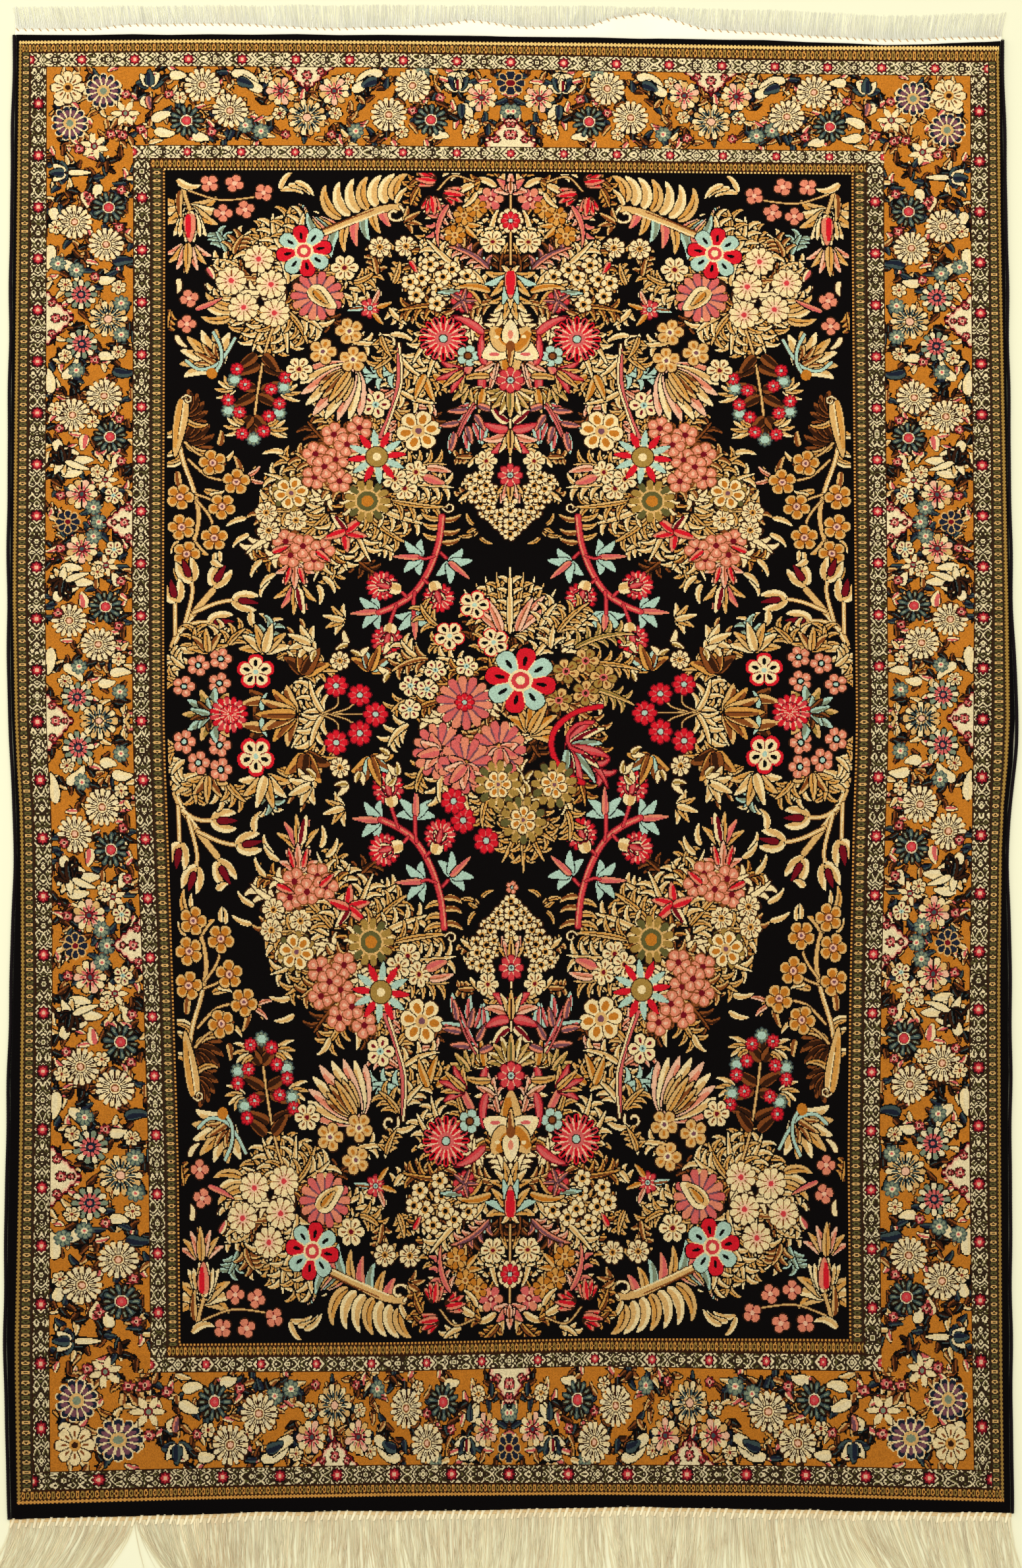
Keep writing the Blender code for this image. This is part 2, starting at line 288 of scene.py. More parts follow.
# kind: petals, how deep the notch between them is, petal yarns, rim, line between petals,
# drop (yarn, place, half length, half width), hearts from the outside in (share of the radius, yarn)
FLOWERS = {
    "wheel": (8, 0.30, ("red", "mint"), "night", "cream", ("night", 0.60, 0.15, 0.06),
              ((0.34, "cream"), (0.26, "coral"), (0.13, "cream"))),
    "cream10": (10, 0.25, ("cream",), "umber", "brown", ("blush", 0.45, 0.14, 0.05),
                ((0.30, "blush"), (0.18, "coral"))),
    "cream8": (8, 0.30, ("cream",), "umber", "umber", ("brown", 0.55, 0.16, 0.06), ((0.3, "gold"), (0.16, "umber"))),
    "cream6": (6, 0.40, ("cream",), "night", "umber", ("brown", 0.58, 0.20, 0.07), ((0.3, "tan"), (0.18, "wine"))),
    "cream5": (5, 0.38, ("cream",), "night", "umber", ("wine", 0.60, 0.20, 0.10), ((0.24, "mint"), (0.1, "slate"))),
    "forget": (5, 0.45, ("cream",), "umber", "umber", None, ((0.45, "gold"), (0.28, "night"))),
    "amber": (7, 0.42, ("ochre", "gold"), "umber", "umber", None, ((0.32, "tan"), (0.16, "brown"))),
    "lily": (6, 0.5, ("salmon", "rose"), "umber", "blush", None, ((0.30, "wine"), (0.16, "blush"))),
    "tan5": (5, 0.42, ("tan",), "umber", "brown", ("ochre", 0.6, 0.2, 0.12), ((0.3, "cream"), (0.16, "plum"))),
    "gold5": (5, 0.34, ("tan",), "night", "umber", ("ochre", 0.58, 0.28, 0.25),
              ((0.36, "brown"), (0.25, "blush"), (0.12, "plum"))),
    "gold6": (6, 0.34, ("cream",), "umber", "umber", ("ochre", 0.60, 0.24, 0.17), ((0.3, "tan"), (0.15, "plum"))),
    "olive6": (6, 0.36, ("tan", "olive"), "umber", "umber", ("brown", 0.56, 0.2, 0.09),
               ((0.3, "rose"), (0.16, "umber"))),
    "salmon4": (4, 0.42, ("salmon",), "umber", "wine", None, ((0.25, "blush"),)),
    "salmon5": (5, 0.38, ("salmon",), "umber", "brown", ("blush", 0.62, 0.2, 0.1), ((0.36, "night"), (0.2, "mint"))),
    "rose8": (8, 0.3, ("coral",), "wine", "blush", None, ((0.36, "wine"), (0.25, "mint"), (0.12, "slate"))),
    "red8": (8, 0.28, ("red",), "wine", "rose", None, ((0.36, "wine"), (0.24, "mint"))),
    "redback5": (5, 0.34, ("red",), "night", None, None, ()),
    "redrim5": (5, 0.34, ("cream",), "red", "wine", ("night", 0.60, 0.24, 0.13), ((0.28, "cream"), (0.16, "mint"))),
    "star": (12, 0.56, ("red", "mint"), "night", "ivory", None, ((0.40, "umber"), (0.36, "olive"), (0.14, "cream"))),
    "mum": (16, 0.36, ("red", "coral"), "night", "blush", ("night", 0.8, 0.16, 0.05),
            ((0.34, "rose"), (0.2, "umber"), (0.15, "mint"))),
    "mint5": (5, 0.34, ("mint",), "umber", "sage", None, ((0.42, "umber"), (0.26, "brown"))),
    "olive": (13, 0.40, ("olive", "olive", "moss"), "umber", "tan", None,
              ((0.54, "tan"), (0.46, "moss"), (0.26, "ochre"))),
    "carnation": (15, 0.26, ("red", "coral"), "wine", "blush", None, ()),
    "pink16": (14, 0.30, ("salmon", "rose"), "umber", "plum", None, ((0.24, "umber"), (0.17, "gold"))),
    "cluster": (5, 0.30, ("salmon",), "brown", "brown", ("blush", 0.6, 0.2, 0.12), ((0.25, "wine"),)),
    "orange": (16, 0.34, ("cream", "ivory"), "umber", "umber", ("umber", 0.56, 0.12, 0.03),
               ((0.34, "umber"), (0.29, "cream"), (0.22, "brown"), (0.14, "blush"))),
    "slate": (14, 0.3, ("slate", "pine"), "night", "night", ("sage", 0.76, 0.17, 0.05),
              ((0.37, "ivory"), (0.31, "wine"), (0.26, "coral"), (0.10, "rose"))),
    "teal": (12, 0.34, ("sage", "ivory"), "night", "night", ("rose", 0.46, 0.16, 0.09),
             ((0.28, "navy"), (0.14, "rose"))),
    "blushed": (10, 0.36, ("cream", "tan", "blush"), "night", "night", ("rose", 0.46, 0.16, 0.07),
                ((0.26, "wine"), (0.14, "slate"))),
    "daisy": (14, 0.34, ("cream", "tan"), "night", "night", ("slate", 0.54, 0.20, 0.05),
              ((0.26, "umber"), (0.20, "blush"))),
    "navy": (12, 0.28, ("navy",), "cream", "cream", ("plum", 0.62, 0.2, 0.11), ((0.36, "tan"), (0.2, "sage"))),
    "point6": (6, 0.72, ("cream",), "umber", "umber", None, ((0.26, "wine"), (0.14, "sage"))),
    "anemone": (8, 0.34, ("navy",), "tan", "tan", None, ((0.34, "tan"), (0.24, "wine"))),
    "red": (7, 0.4, ("rose", "wine"), "umber", None, None, ((0.45, "blush"), (0.26, "umber"))),
    "grey": (8, 0.3, ("sage",), "slate", "slate", None, ((0.4, "ivory"), (0.2, "rose"))),
}

# leaf yarns: rim, edge, body, rib
LEAVES = {
    "cream": ("night", "cream", "tan", None), "gold": ("night", "tan", "gold", "umber"),
    "ochre": ("night", "tan", "ochre", None), "brown": ("night", "tan", "brown", None),
    "salmon": ("night", "blush", "salmon", "brown"), "mint": ("night", "mint", "mint", None),
    "rose": ("night", "salmon", "rose", None), "pale": ("umber", "cream", "cream", None),
    "sage": ("night", "mint", "sage", None), "wine": ("night", "cream", "wine", None),
    "coral": ("wine", "coral", "rose", None), "plum": ("umber", "salmon", "plum", None),
    "olive": ("night", "tan", "olive", "moss"), "red": ("umber", "salmon", "red", None),
    "teal": ("night", "mint", "brown", None), "ivory": ("umber", "ivory", "cream", None),
    "bud": ("umber", "cream", "rose", None), "tan": ("umber", "cream", "olive", None),
    "lilac": ("night", "mint", "rose", "wine"), "shade": ("night", "brown", "umber", None),
    "heart": ("night", "wine", "wine", None), "rust": ("night", "gold", "brown", "umber"),
    "dark": ("night", "slate", "navy", None), "night": ("night", "umber", "night", "slate"),
    "cloud": ("night", "cream", "ivory", None),
}


def along_arc(dx, dy, turn, length, bend):
    """How far along an arc from its foot, and aside of it, the knots of a patch lie."""
    heading = radians(turn)
    ahead, right = dx * cos(heading) + dy * sin(heading), dy * cos(heading) - dx * sin(heading)
    if abs(bend) < 2:
        return ahead, right
    radius = length / radians(bend)
    centre = right - radius
    side = 1 if bend > 0 else -1
    return np.arctan2(ahead, -centre * side) * abs(radius), (abs(radius) - np.hypot(ahead, centre)) * side


def leaf(x, y, turn, length, width, bend=0.0, kind="cream"):
    """One leaf from its foot, along an arc that turns by bend degrees."""
    rim, edge, body, rib = LEAVES[kind]
    area, dx, dy = patch(x, y, length + 3)
    along, across = along_arc(dx, dy, turn, length, bend)
    t = along / length
    span = np.clip(t, 0, 1)
    half = width / 2 * np.sqrt(np.clip(np.sin(pi * span**0.75), 0, 1)) * (1 - 0.35 * span)
    inside = (t > 0) & (t < 1) & (np.abs(across) < half)
    area[(t > -0.04) & (t < 1.04) & (np.abs(across) < half + 1.8)] = YARN[rim]
    area[inside] = YARN[edge]
    area[inside & (np.abs(across + 0.12 * width) < half * 0.5) & (t < 0.85)] = YARN[body]
    if rib:
        area[inside & (np.abs(across) < 0.75) & (t < 0.7)] = YARN[rib]


def on_arc(x, y, turn, bend, far):
    """The place far along an arc that has turned by bend degrees there."""
    half = radians(bend / 2)
    chord = far * (sin(half) / half if abs(half) > 0.01 else 1)
    return x + chord * cos(radians(turn) + half), y + chord * sin(radians(turn) + half)


BARBED = 0.66                   # the part of a plume's midrib that has barbs, in pairs every 17 squares or so
BARB_WIDTH, BARB_LEAN, BARB_CURL = 9.2, 12, 84


def frond(x, y, turn, length, width, bend=0.0, kind="cream", second=None):
    """An acanthus plume along an arc: pairs of barbs, from its tip down, that leave the midrib and curl outwards."""
    count = max(round(length * BARBED / 17), 2)
    for k in range(count, -1, -1):
        share = BARBED * k / count
        px, py = on_arc(x, y, turn, bend * share, length * share)
        long = width * (0.98 - 0.16 * k / count)
        for side, name in ((-1, kind), (1, second or kind)):
            leaf(px, py, turn + bend * share + side * BARB_LEAN, long, BARB_WIDTH, side * BARB_CURL, name)
    leaf(x, y, turn, length, 9, bend, kind)


def fronds(width, *rows):
    """Fronds of one width, from rows of (x, y, turn, length, bend, kind)."""
    for x, y, turn, length, bend, kind in rows:
        frond(x, y, turn, length, width, bend, kind)


def leaves(length, width, kind, *rows):
    """Leaves of one size, from rows of (x, y, turn, bend), which may end with a kind of their own."""
    for x, y, turn, bend, *own in rows:
        leaf(x, y, turn, length, width, bend, *own or [kind])


def fan(x, y, turn, spread, length, width, count, kind="cream", bend=0.0, second=None):
    """Leaves that spread like a shell or a palm from one foot."""
    for k in sorted(range(count), key=lambda k: -abs(k - (count - 1) / 2)):
        share = k / (count - 1) * 2 - 1 if count > 1 else 0
        leaf(x, y, turn + share * spread / 2, length * (1 - 0.18 * abs(share)), width, bend * share,
             second if second and k % 2 else kind)


def out_of(wide, tall, angle):
    """A place on an oval round the origin, and the heading that leads straight out of it there."""
    a = radians(angle)
    return wide * cos(a), tall * sin(a), atan2(sin(a) * wide, cos(a) * tall) * 180 / pi


def wreath(x, y, wide, tall, start, end, count, length, width, lean, second):
    """Cream fronds that stand outwards along part of an oval."""
    for k in range(count):
        right, down, out = out_of(wide, tall, start + (end - start) * (k + 0.5) / count)
        frond(x + right, y + down, out + lean, length, width, 30.0 if k % 2 else -30.0, "cream", second)


PLUMES = ("cream", "gold", "shade", "cream", "brown", "pale", "rust")


def bush(x, y, wide, tall, rings=3, length=46, width=30, kinds=PLUMES, start=0, end=360, seed=1):
    """A mass of plumes that point outwards from the middle of an oval, ring within ring."""
    chance = np.random.default_rng(seed)
    for ring in range(rings):
        share = 1 - 0.82 * ring / rings
        around = tau * sqrt((wide**2 + tall**2) / 2) * share * (end - start) / 360
        count = max(round(around / (width * 1.9)), 3)        # a plume's barbs reach nearly its width to each side
        for k in range(count):
            right, down, out = out_of(wide, tall, start + (end - start) * (k + chance.uniform(0.3, 0.7)) / count)
            reach = max(share - 0.8 * length / hypot(right, down), 0.05)
            kind = kinds[(k + ring) % len(kinds)]
            frond(x + right * reach, y + down * reach, out + chance.uniform(-22, 22),
                  length * chance.uniform(0.85, 1.1), width, chance.uniform(20, 50) * (1 if k % 2 else -1), kind)


def stem(points, width, yarn, rim="umber"):
    """A smooth stem through points, laid on a wider one of its rim's yarn."""
    smooth = []
    for k in range(len(points) - 1):
        p0, p1, p2, p3 = points[max(k - 1, 0)], points[k], points[k + 1], points[min(k + 2, len(points) - 1)]
        for t in np.linspace(0, 1, 7)[: None if k == len(points) - 2 else -1]:
            smooth.append([0.5 * (2 * b + (c - a) * t + (2 * a - 5 * b + 4 * c - d) * t**2
                                  + (3 * b - a - 3 * c + d) * t**3) for a, b, c, d in zip(p0, p1, p2, p3)])
    for extra, colour in ((1.3, rim), (0, yarn)):
        if colour:
            for (ax, ay), (bx, by) in zip(smooth, smooth[1:]):
                mx, my, half = (ax + bx) / 2, (ay + by) / 2, hypot(bx - ax, by - ay) / 2
                area, dx, dy = patch(mx, my, half + width + extra)
                ux, uy = ((bx - ax) / 2 / half, (by - ay) / 2 / half) if half > 0.01 else (1, 0)
                along = np.clip(dx * ux + dy * uy, -half, half)
                area[np.hypot(dx - along * ux, dy - along * uy) < width / 2 + extra] = YARN[colour]


def oval(x, y, wide, tall, yarn, turn=0.0):
    """An oval spot of one yarn, wide and tall from its middle."""
    area, dx, dy = patch(x, y, max(wide, tall))
    c, s = cos(radians(turn)), sin(radians(turn))
    area[((dx * c + dy * s) / wide) ** 2 + ((dy * c - dx * s) / tall) ** 2 < 1] = YARN[yarn]


def curl(x, y, r, turn, way):
    """A pale scroll that winds in on itself, way 1 or -1 round."""
    steps = [(1.0, 0), (0.95, 60), (0.85, 120), (0.7, 180), (0.55, 240), (0.4, 300), (0.25, 350)]
    stem([(x + r * q * cos(radians(turn + way * a)), y + r * q * sin(radians(turn + way * a))) for q, a in steps],
         max(2.0, r * 0.24), "cream")


def carnation(x, y, turn, r):
    """A carnation from the side: a toothed half disc of petals over a pale cup."""
    a, b = cos(radians(turn)), sin(radians(turn))
    flower(x, y, r, "carnation", turn)
    leaf(x - r * 1.3 * a, y - r * 1.3 * b, turn, r * 1.4, r * 0.95, 0, "cream")
    fan(x - r * 0.5 * a, y - r * 0.5 * b, turn, 120, r * 0.9, r * 0.36, 5, "coral", 0, "wine")


def flowers(kind, r, *places):
    """Flowers of one kind and size, each turned a little further than the last."""
    for k, (x, y) in enumerate(places):
        flower(x, y, r, kind, 17 * k)


def at_both_ends(group, lift):
    """Paints a group where it lies near the long-fringed end, and again turned over near the other end, where it lies
    lift knots further down than its mirror image."""
    group()
    turned.update(down=-1, lift=lift)
    group()
    turned.update(down=1, lift=0.0)


def corner_bouquet():
    """Peony, cartwheel and cream rosettes over acanthus leaves, with the berried stalk above."""
    bush(450, 1838, 106, 90, seed=2)
    wreath(430, 1848, 56, 64, 100, 330, 14, 42, 26, -12, "gold")
    fronds(39,
            (425, 1790, -160, 62, 40, "gold"), (430, 1785, -135, 66, 30, "cream"), (432, 1780, -100, 64, 18, "gold"),
            (440, 1785, -70, 60, -20, "cream"), (450, 1795, -45, 62, -30, "gold"), (465, 1790, -20, 46, -30, "cream"))
    fronds(36,
            (440, 1885, 150, 62, -60, "gold"), (445, 1900, 130, 66, -50, "cream"), (455, 1915, 112, 62, -46, "gold"),
            (430, 1880, 170, 56, -40, "cream"), (470, 1925, 95, 44, -30, "cream"))
    fronds(30,
            (540, 1835, -20, 44, 60, "cream"), (545, 1845, 5, 40, 50, "gold"), (540, 1745, -20, 50, 30, "cream"),
            (360, 1900, 100, 36, 30, "sage"), (372, 1895, 80, 34, -30, "brown"))
    stem(((429, 1768), (419, 1735), (408, 1680), (399, 1615)), 3.4, "tan")
    for x, y, turn in (
            (400, 1652, 210), (406, 1652, -30), (408, 1704, 205), (414, 1702, -25), (398, 1612, -90), (414, 1722, -50),
            (404, 1722, -140), (402, 1662, 160), (410, 1660, 20), (398, 1616, -50), (396, 1616, -130)):
        leaf(x, y, turn, 38, 19, 0, "shade")
    for x, y, side in ((384, 1604, -1), (418, 1600, 1), (372, 1668, -1), (438, 1662, 1)):
        for k in range(4):
            leaf(x, y, -90 + side * (22 + 26 * k), 38 - 4 * k, 10, side * 70, ("cream", "gold")[k % 2])
    for x, y in ((397, 1577), (361, 1626), (435, 1621), (443, 1665), (371, 1679)):
        flower(x, y, 10, "grey")
        oval(x, y, 7, 6, "mint")
    for x, y in (
            (380, 1586), (412, 1590), (377, 1623), (420, 1616), (436, 1637), (361, 1644), (386, 1670), (424, 1662),
            (375, 1697), (446, 1682)):
        flower(x, y, 9, "red8")
    fan(543, 1696, -128, 128, 96, 25, 9, "salmon", -34, second="cream")
    fan(540, 1692, -128, 84, 62, 15, 6, "brown", -30, second="gold")
    fan(350, 1702, 136, 92, 70, 23, 7, "cream", 30, second="gold")
    fan(348, 1704, 138, 56, 46, 10, 4, "brown", 20)
    for x, y, turn, length, kind in (
            (378, 1796, -162, 58, "cream"), (372, 1804, -176, 52, "gold"), (366, 1786, -150, 46, "gold")):
        leaf(x, y, turn, length, 15, -64, kind)
    for x, y, turn, kind in (
            (284, 1900, -60, "brown"), (278, 1800, -110, "rust"), (586, 1752, -80, "gold"), (598, 1800, -60, "cream"),
            (604, 1842, 60, "gold"), (580, 1858, 90, "brown")):
        frond(x, y, turn, 38, 22, 30, kind)
    for points in (
            ((301, 1712), (320, 1697), (344, 1704), (361, 1726), (373, 1750)),
            ((336, 1684), (351, 1706), (352, 1734), (342, 1760))):
        stem(points, 4.6, "mint")
    oval(338, 1690, 8, 9, "ochre", 20)
    flowers("cream6", 20, (466, 1696))
    flowers("tan5", 21, (501, 1726), (545, 1712), (540, 1761))
    flowers("cream10", 23, (386, 1803), (431, 1793), (368, 1849), (426, 1842), (408, 1886))
    flowers("cream6", 21, (533, 1870))
    flower(493, 1822, 40, "pink16")
    leaf(484, 1838, -52, 52, 32, 20, "cream")
    leaf(489, 1832, -52, 30, 12, 10, "ochre")
    flowers("salmon4", 14, (303, 1775), (307, 1819))
    leaf(316, 1800, 20, 44, 9, 10, "rose")
    leaf(334, 1872, -60, 22, 11, 0, "bud")
    flower(570, 1800, 15, "rose8")
    for turn, kind in ((-60, "ochre"), (60, "salmon"), (180, "teal"), (10, "ochre")):
        leaf(*on_arc(570, 1800, turn, 0, 10), turn, 24, 9, 20, kind)
    # The corner scroll: a stalk that ends in a curl, with a comb of pale leaflets under it.
    for k in range(7):
        leaf(528 + 13 * k, 1956 + 5 * k, 158 - 8 * k, 64 - 2 * k, 19, -88, "cream" if k % 3 else "gold")
    for k in range(6):
        leaf(520 - 5 * k, 1946 - 4 * k, 172 - 7 * k, 66 - 5 * k, 13, -44, ("salmon", "gold", "sage")[k % 3])
    for k in range(7):
        leaf(514 + 12 * k, 1936 + 6 * k, -134 + 8 * k, 58 - 4 * k, 15, 44, ("rose", "sage", "gold")[k % 3])
    stem(((482, 1921), (530, 1944), (580, 1968), (612, 1974)), 11, "tan")
    stem(((488, 1920), (535, 1942), (590, 1966)), 2.6, "cream", None)
    stem(((490, 1929), (530, 1949), (575, 1969)), 2, "brown", None)
    curl(606, 1962, 15, 60, -1)
    flower(474, 1899, 42, "wheel", 10)
    leaf(608, 1980, 80, 34, 9, -50, "cream")
    fan(586, 1915, -90, 120, 34, 12, 5, "gold")
    flowers("cream8", 17, (584, 1905), (622, 1906))
    fan(620, 1950, 10, 110, 30, 10, 4, "brown", 30)
    # The flower in the corner itself, its salmon sprays and pale hooks.
    fan(306, 1914, -92, 96, 50, 14, 7, "salmon", 26, second="gold")
    fan(309, 1976, -90, 170, 56, 19, 9, "gold", 54, second="cream")
    fan(309, 1970, -90, 64, 56, 15, 4, "cream", -24)
    leaf(309, 1964, -90, 46, 21, 0, "red")
    leaf(296, 2004, -104, 44, 12, 30, "brown")
    stem(((309, 1972), (303, 1994), (298, 2016)), 5, "tan")
    leaf(292, 2024, -60, 40, 13, 90, "cream")
    stem(((308, 2004), (352, 1988), (400, 1992), (418, 2000)), 2.4, "tan")
    flowers("salmon4", 14, (357, 1965), (389, 1971), (416, 2000), (338, 2016), (374, 2016))
    leaves(38, 10, "cream", (440, 2004, 20, -60), (452, 2012, 10, -70), (462, 2018, -10, -60), (440, 2006, 80, -50))
    leaf(288, 1756, -80, 26, 9, 60, "pale")
    leaf(290, 1852, -60, 24, 9, -60, "pale")


def side_bouquet():
    """The bouquet between the corner and the middle: lily, hyacinths, spoked star, on a feathered stalk."""
    bush(494, 1372, 112, 82, 3, seed=4)
    bush(552, 1456, 112, 82, 3, seed=5)
    bush(566, 1530, 62, 56, 2, 38, 26, seed=6)
    bush(628, 1600, 46, 64, 2, 38, 26, ("gold", "shade", "cream", "brown", "salmon"), seed=7)
    fronds(36,
            (470, 1440, 160, 70, 20, "rust"), (472, 1450, 145, 70, 24, "cream"), (480, 1470, 130, 64, 24, "gold"),
            (466, 1435, 178, 66, 16, "cream"), (510, 1530, 140, 50, -10, "shade"), (520, 1550, 120, 46, 10, "gold"),
            (500, 1490, 160, 50, -14, "brown"))
    fronds(39,
            (500, 1420, -150, 92, -20, "cream"), (505, 1410, -128, 96, -14, "gold"),
            (515, 1400, -104, 110, -8, "cream"), (540, 1400, -76, 76, 16, "cream"), (560, 1410, -50, 84, 24, "gold"),
            (575, 1420, -30, 86, 20, "cream"), (600, 1430, -14, 84, 14, "gold"), (620, 1460, 0, 76, -12, "cream"),
            (615, 1480, 20, 70, -20, "gold"), (470, 1420, -170, 76, -14, "gold"))
    leaves(34, 10, "cream",
            (415, 1296, -150, 70), (424, 1306, -165, 60), (486, 1286, -50, -70), (494, 1300, -25, -60),
            (386, 1374, -170, 60), (382, 1402, 178, 50), (404, 1330, -150, 60), (540, 1560, 60, 60),
            (500, 1575, 100, 60), (446, 1540, 140, 50), (440, 1515, 160, 50))
    fan(455, 1290, -95, 80, 52, 13, 5, "gold", 20, second="rose")
    leaf(457, 1282, -82, 44, 15, 8, "wine")
    fan(453, 1322, -90, 110, 40, 14, 5, "salmon", 20)
    leaf(446, 1316, -105, 28, 9, 0, "red")
    leaf(460, 1316, -75, 28, 9, 0, "red")
    flowers("cluster", 19, (447, 1338), (482, 1330), (440, 1362), (466, 1354), (494, 1346))
    leaf(420, 1344, 20, 28, 11, 10, "red")
    leaf(486, 1346, -45, 28, 11, 10, "red")
    for turn in (-90, -20, 35, 120, 195):
        leaf(529, 1378, turn, 34, 15, 14, "red" if turn != 120 else "wine")
    flowers("cream8", 17, (415, 1381), (456, 1398), (412, 1412))
    flower(563, 1430, 35, "olive")
    flower(450, 1445, 30, "olive")
    flower(450, 1445, 26, "gold6", 12)
    flowers("cluster", 19,
            (485, 1472), (522, 1465), (487, 1512), (517, 1502), (500, 1490), (515, 1545), (553, 1556), (534, 1528))
    flowers("cream6", 19, (619, 1451), (636, 1479), (604, 1468))
    leaf(648, 1472, -30, 34, 16, 20, "rose")
    leaf(652, 1486, 0, 38, 13, -20, "salmon")
    # Its stalk, with a leafy foot and two scrolls.
    fronds(33,
            (600, 1590, -60, 54, 40, "gold"), (612, 1620, -40, 62, 40, "cream"), (618, 1650, -30, 60, 40, "gold"),
            (604, 1620, -140, 50, -40, "salmon"), (606, 1655, -150, 50, -40, "mint"), (612, 1680, -60, 50, 30, "cream"),
            (606, 1690, -120, 46, -30, "gold"))
    stem(((583, 1540), (598, 1580), (610, 1630), (612, 1700)), 5, "rose")
    stem(((590, 1545), (604, 1590), (616, 1640), (612, 1700)), 3, "cream")
    curl(592, 1704, 14, -30, 1)
    leaf(600, 1716, 10, 40, 10, -60, "cream")
    flower(577, 1596, 22, "cream5")
    flower(640, 1550, 33, "gold6", 10)
    flower(578, 1506, 45, "star", 6)


def gold_branch():
    """The branch of gold flowers that climbs each side, from a leafy curl."""
    for y, reach in ((1594, 1), (1636, 0.8)):
        for k in range(5):
            leaf(296, y + 2 * k, -52 + 24 * k, 48 * reach, 17, 74, "shade")
        leaf(296, y - 4, -58, 52 * reach, 10, 84, "gold")
    for y, turn in ((1584, -120), (1612, -132), (1560, -136)):
        leaf(290, y, turn, 34, 12, -60, "cream")
        leaf(292, y + 8, turn + 8, 30, 9, -50, "gold")
    stem(((294, 1640), (288, 1600), (292, 1560), (306, 1510), (313, 1460), (302, 1410)), 6, "tan")
    stem(((292, 1630), (288, 1596), (294, 1550), (308, 1500)), 2, "cream", None)
    for foot, middle, tip in (
            ((300, 1560), (330, 1530), (368, 1522)), ((311, 1490), (330, 1460), (336, 1430)),
            ((296, 1590), (312, 1572), (336, 1556)), ((308, 1500), (296, 1490), (288, 1476)),
            ((310, 1500), (330, 1492), (348, 1480))):
        stem((foot, middle, tip), 3.2, "tan")
    leaf(297, 1668, -98, 100, 24, 0, "gold")
    stem(((297, 1662), (293, 1634), (288, 1604)), 2.2, "cream", None)
    curl(301, 1663, 8, 160, -1)
    for x, y, turn, long in (
            (284, 1540, -96, 44), (322, 1508, -30, 30), (326, 1536, 10, 40), (304, 1420, -70, 34), (346, 1584, 60, 26),
            (284, 1390, -120, 40), (376, 1526, 80, 40), (380, 1520, 30, 34)):
        leaf(x, y, turn, long, 12, 50, "brown" if y > 1520 else "gold")
    for x, y, turn, bend in (
            (336, 1400, -110, 50), (342, 1402, -70, -50), (292, 1380, -110, 40), (392, 1524, -30, 40),
            (388, 1532, 20, 40), (282, 1420, -140, 40), (352, 1556, 30, 40), (330, 1500, -10, 50)):
        leaf(x, y, turn, 24, 8, bend, "salmon" if x > 380 else "cream")
    flowers("gold5", 21, (293, 1398), (335, 1425), (287, 1444), (348, 1479), (286, 1496), (370, 1521), (336, 1554))


def bud_branch():
    """The branch of tulip buds at each side, pale petals about a wine heart."""
    stem(((262, 1184), (270, 1215), (296, 1256), (330, 1300)), 9, "tan")
    for points in (
            ((276, 1230), (300, 1244), (330, 1246)), ((300, 1262), (335, 1278), (366, 1284)),
            ((285, 1240), (298, 1290), (298, 1320)), ((270, 1225), (272, 1260), (272, 1284))):
        stem(points, 5.5, "tan")
        stem(points, 1.6, "cream", None)
    stem(((264, 1190), (273, 1218), (298, 1254)), 2.4, "cream", None)
    for x, y, turn in ((322, 1246, 0), (360, 1284, -10), (330, 1308, 60), (298, 1316, 110), (273, 1280, 100)):
        leaf(x, y, turn - 44, 40, 18, 54, "cream")
        leaf(x, y, turn + 44, 40, 18, -54, "cream")
        leaf(*on_arc(x, y, turn, 0, 8), turn, 30, 11, 0, "heart")
    for x, y, turn, bend, length in (
            (388, 1262, -120, 110, 36), (262, 1200, -60, 60, 52), (268, 1206, -40, 50, 40), (330, 1352, -60, 60, 20),
            (262, 1186, -80, 20, 34)):
        leaf(x, y, turn, length, 12, bend, "cream")


def coral_branch():
    """A coral branch with carnations in pale cups and mint leaves."""
    for k, (x, y, turn, bend) in enumerate(((672, 1392, -150, -80), (674, 1382, -30, 80), (672, 1372, -160, -70),
                                            (674, 1364, -20, 70), (670, 1404, -170, -60), (676, 1402, -10, 60))):
        leaf(x, y, turn, 30, 10, bend, "brown" if k % 2 else "gold")
    curl(684, 1424, 9, 200, 1)
    for x, y, turn in ((576, 1246, 185), (631, 1240, -88), (642, 1338, 178), (684, 1330, -42)):
        for side in (-66, 66, -34, 34):
            leaf(x, y, turn + side, 36 if abs(side) < 40 else 30, 16, side * 0.7, "mint")
        leaf(x, y, turn, 42, 11, 0, "rose")
    stem(((674, 1408), (668, 1360), (652, 1312), (630, 1276), (604, 1256), (578, 1244)), 8, "coral", "wine")
    stem(((676, 1408), (670, 1360), (654, 1312), (632, 1277), (606, 1257), (580, 1245)), 2.4, "salmon", None)
    stem(((632, 1278), (630, 1258), (630, 1240)), 3.6, "coral", "wine")
    stem(((662, 1340), (650, 1336), (640, 1337)), 3.0, "coral", "wine")
    stem(((672, 1345), (680, 1336)), 3.0, "coral", "wine")
    stem(((604, 1256), (596, 1232), (592, 1214)), 3.6, "coral", "wine")
    stem(((620, 1270), (608, 1284), (600, 1290)), 3.2, "coral", "wine")
    stem(((646, 1300), (655, 1290), (662, 1282)), 3.2, "coral", "wine")
    carnation(589, 1196, -105, 23)
    carnation(583, 1290, 165, 23)
    carnation(668, 1268, -75, 23)


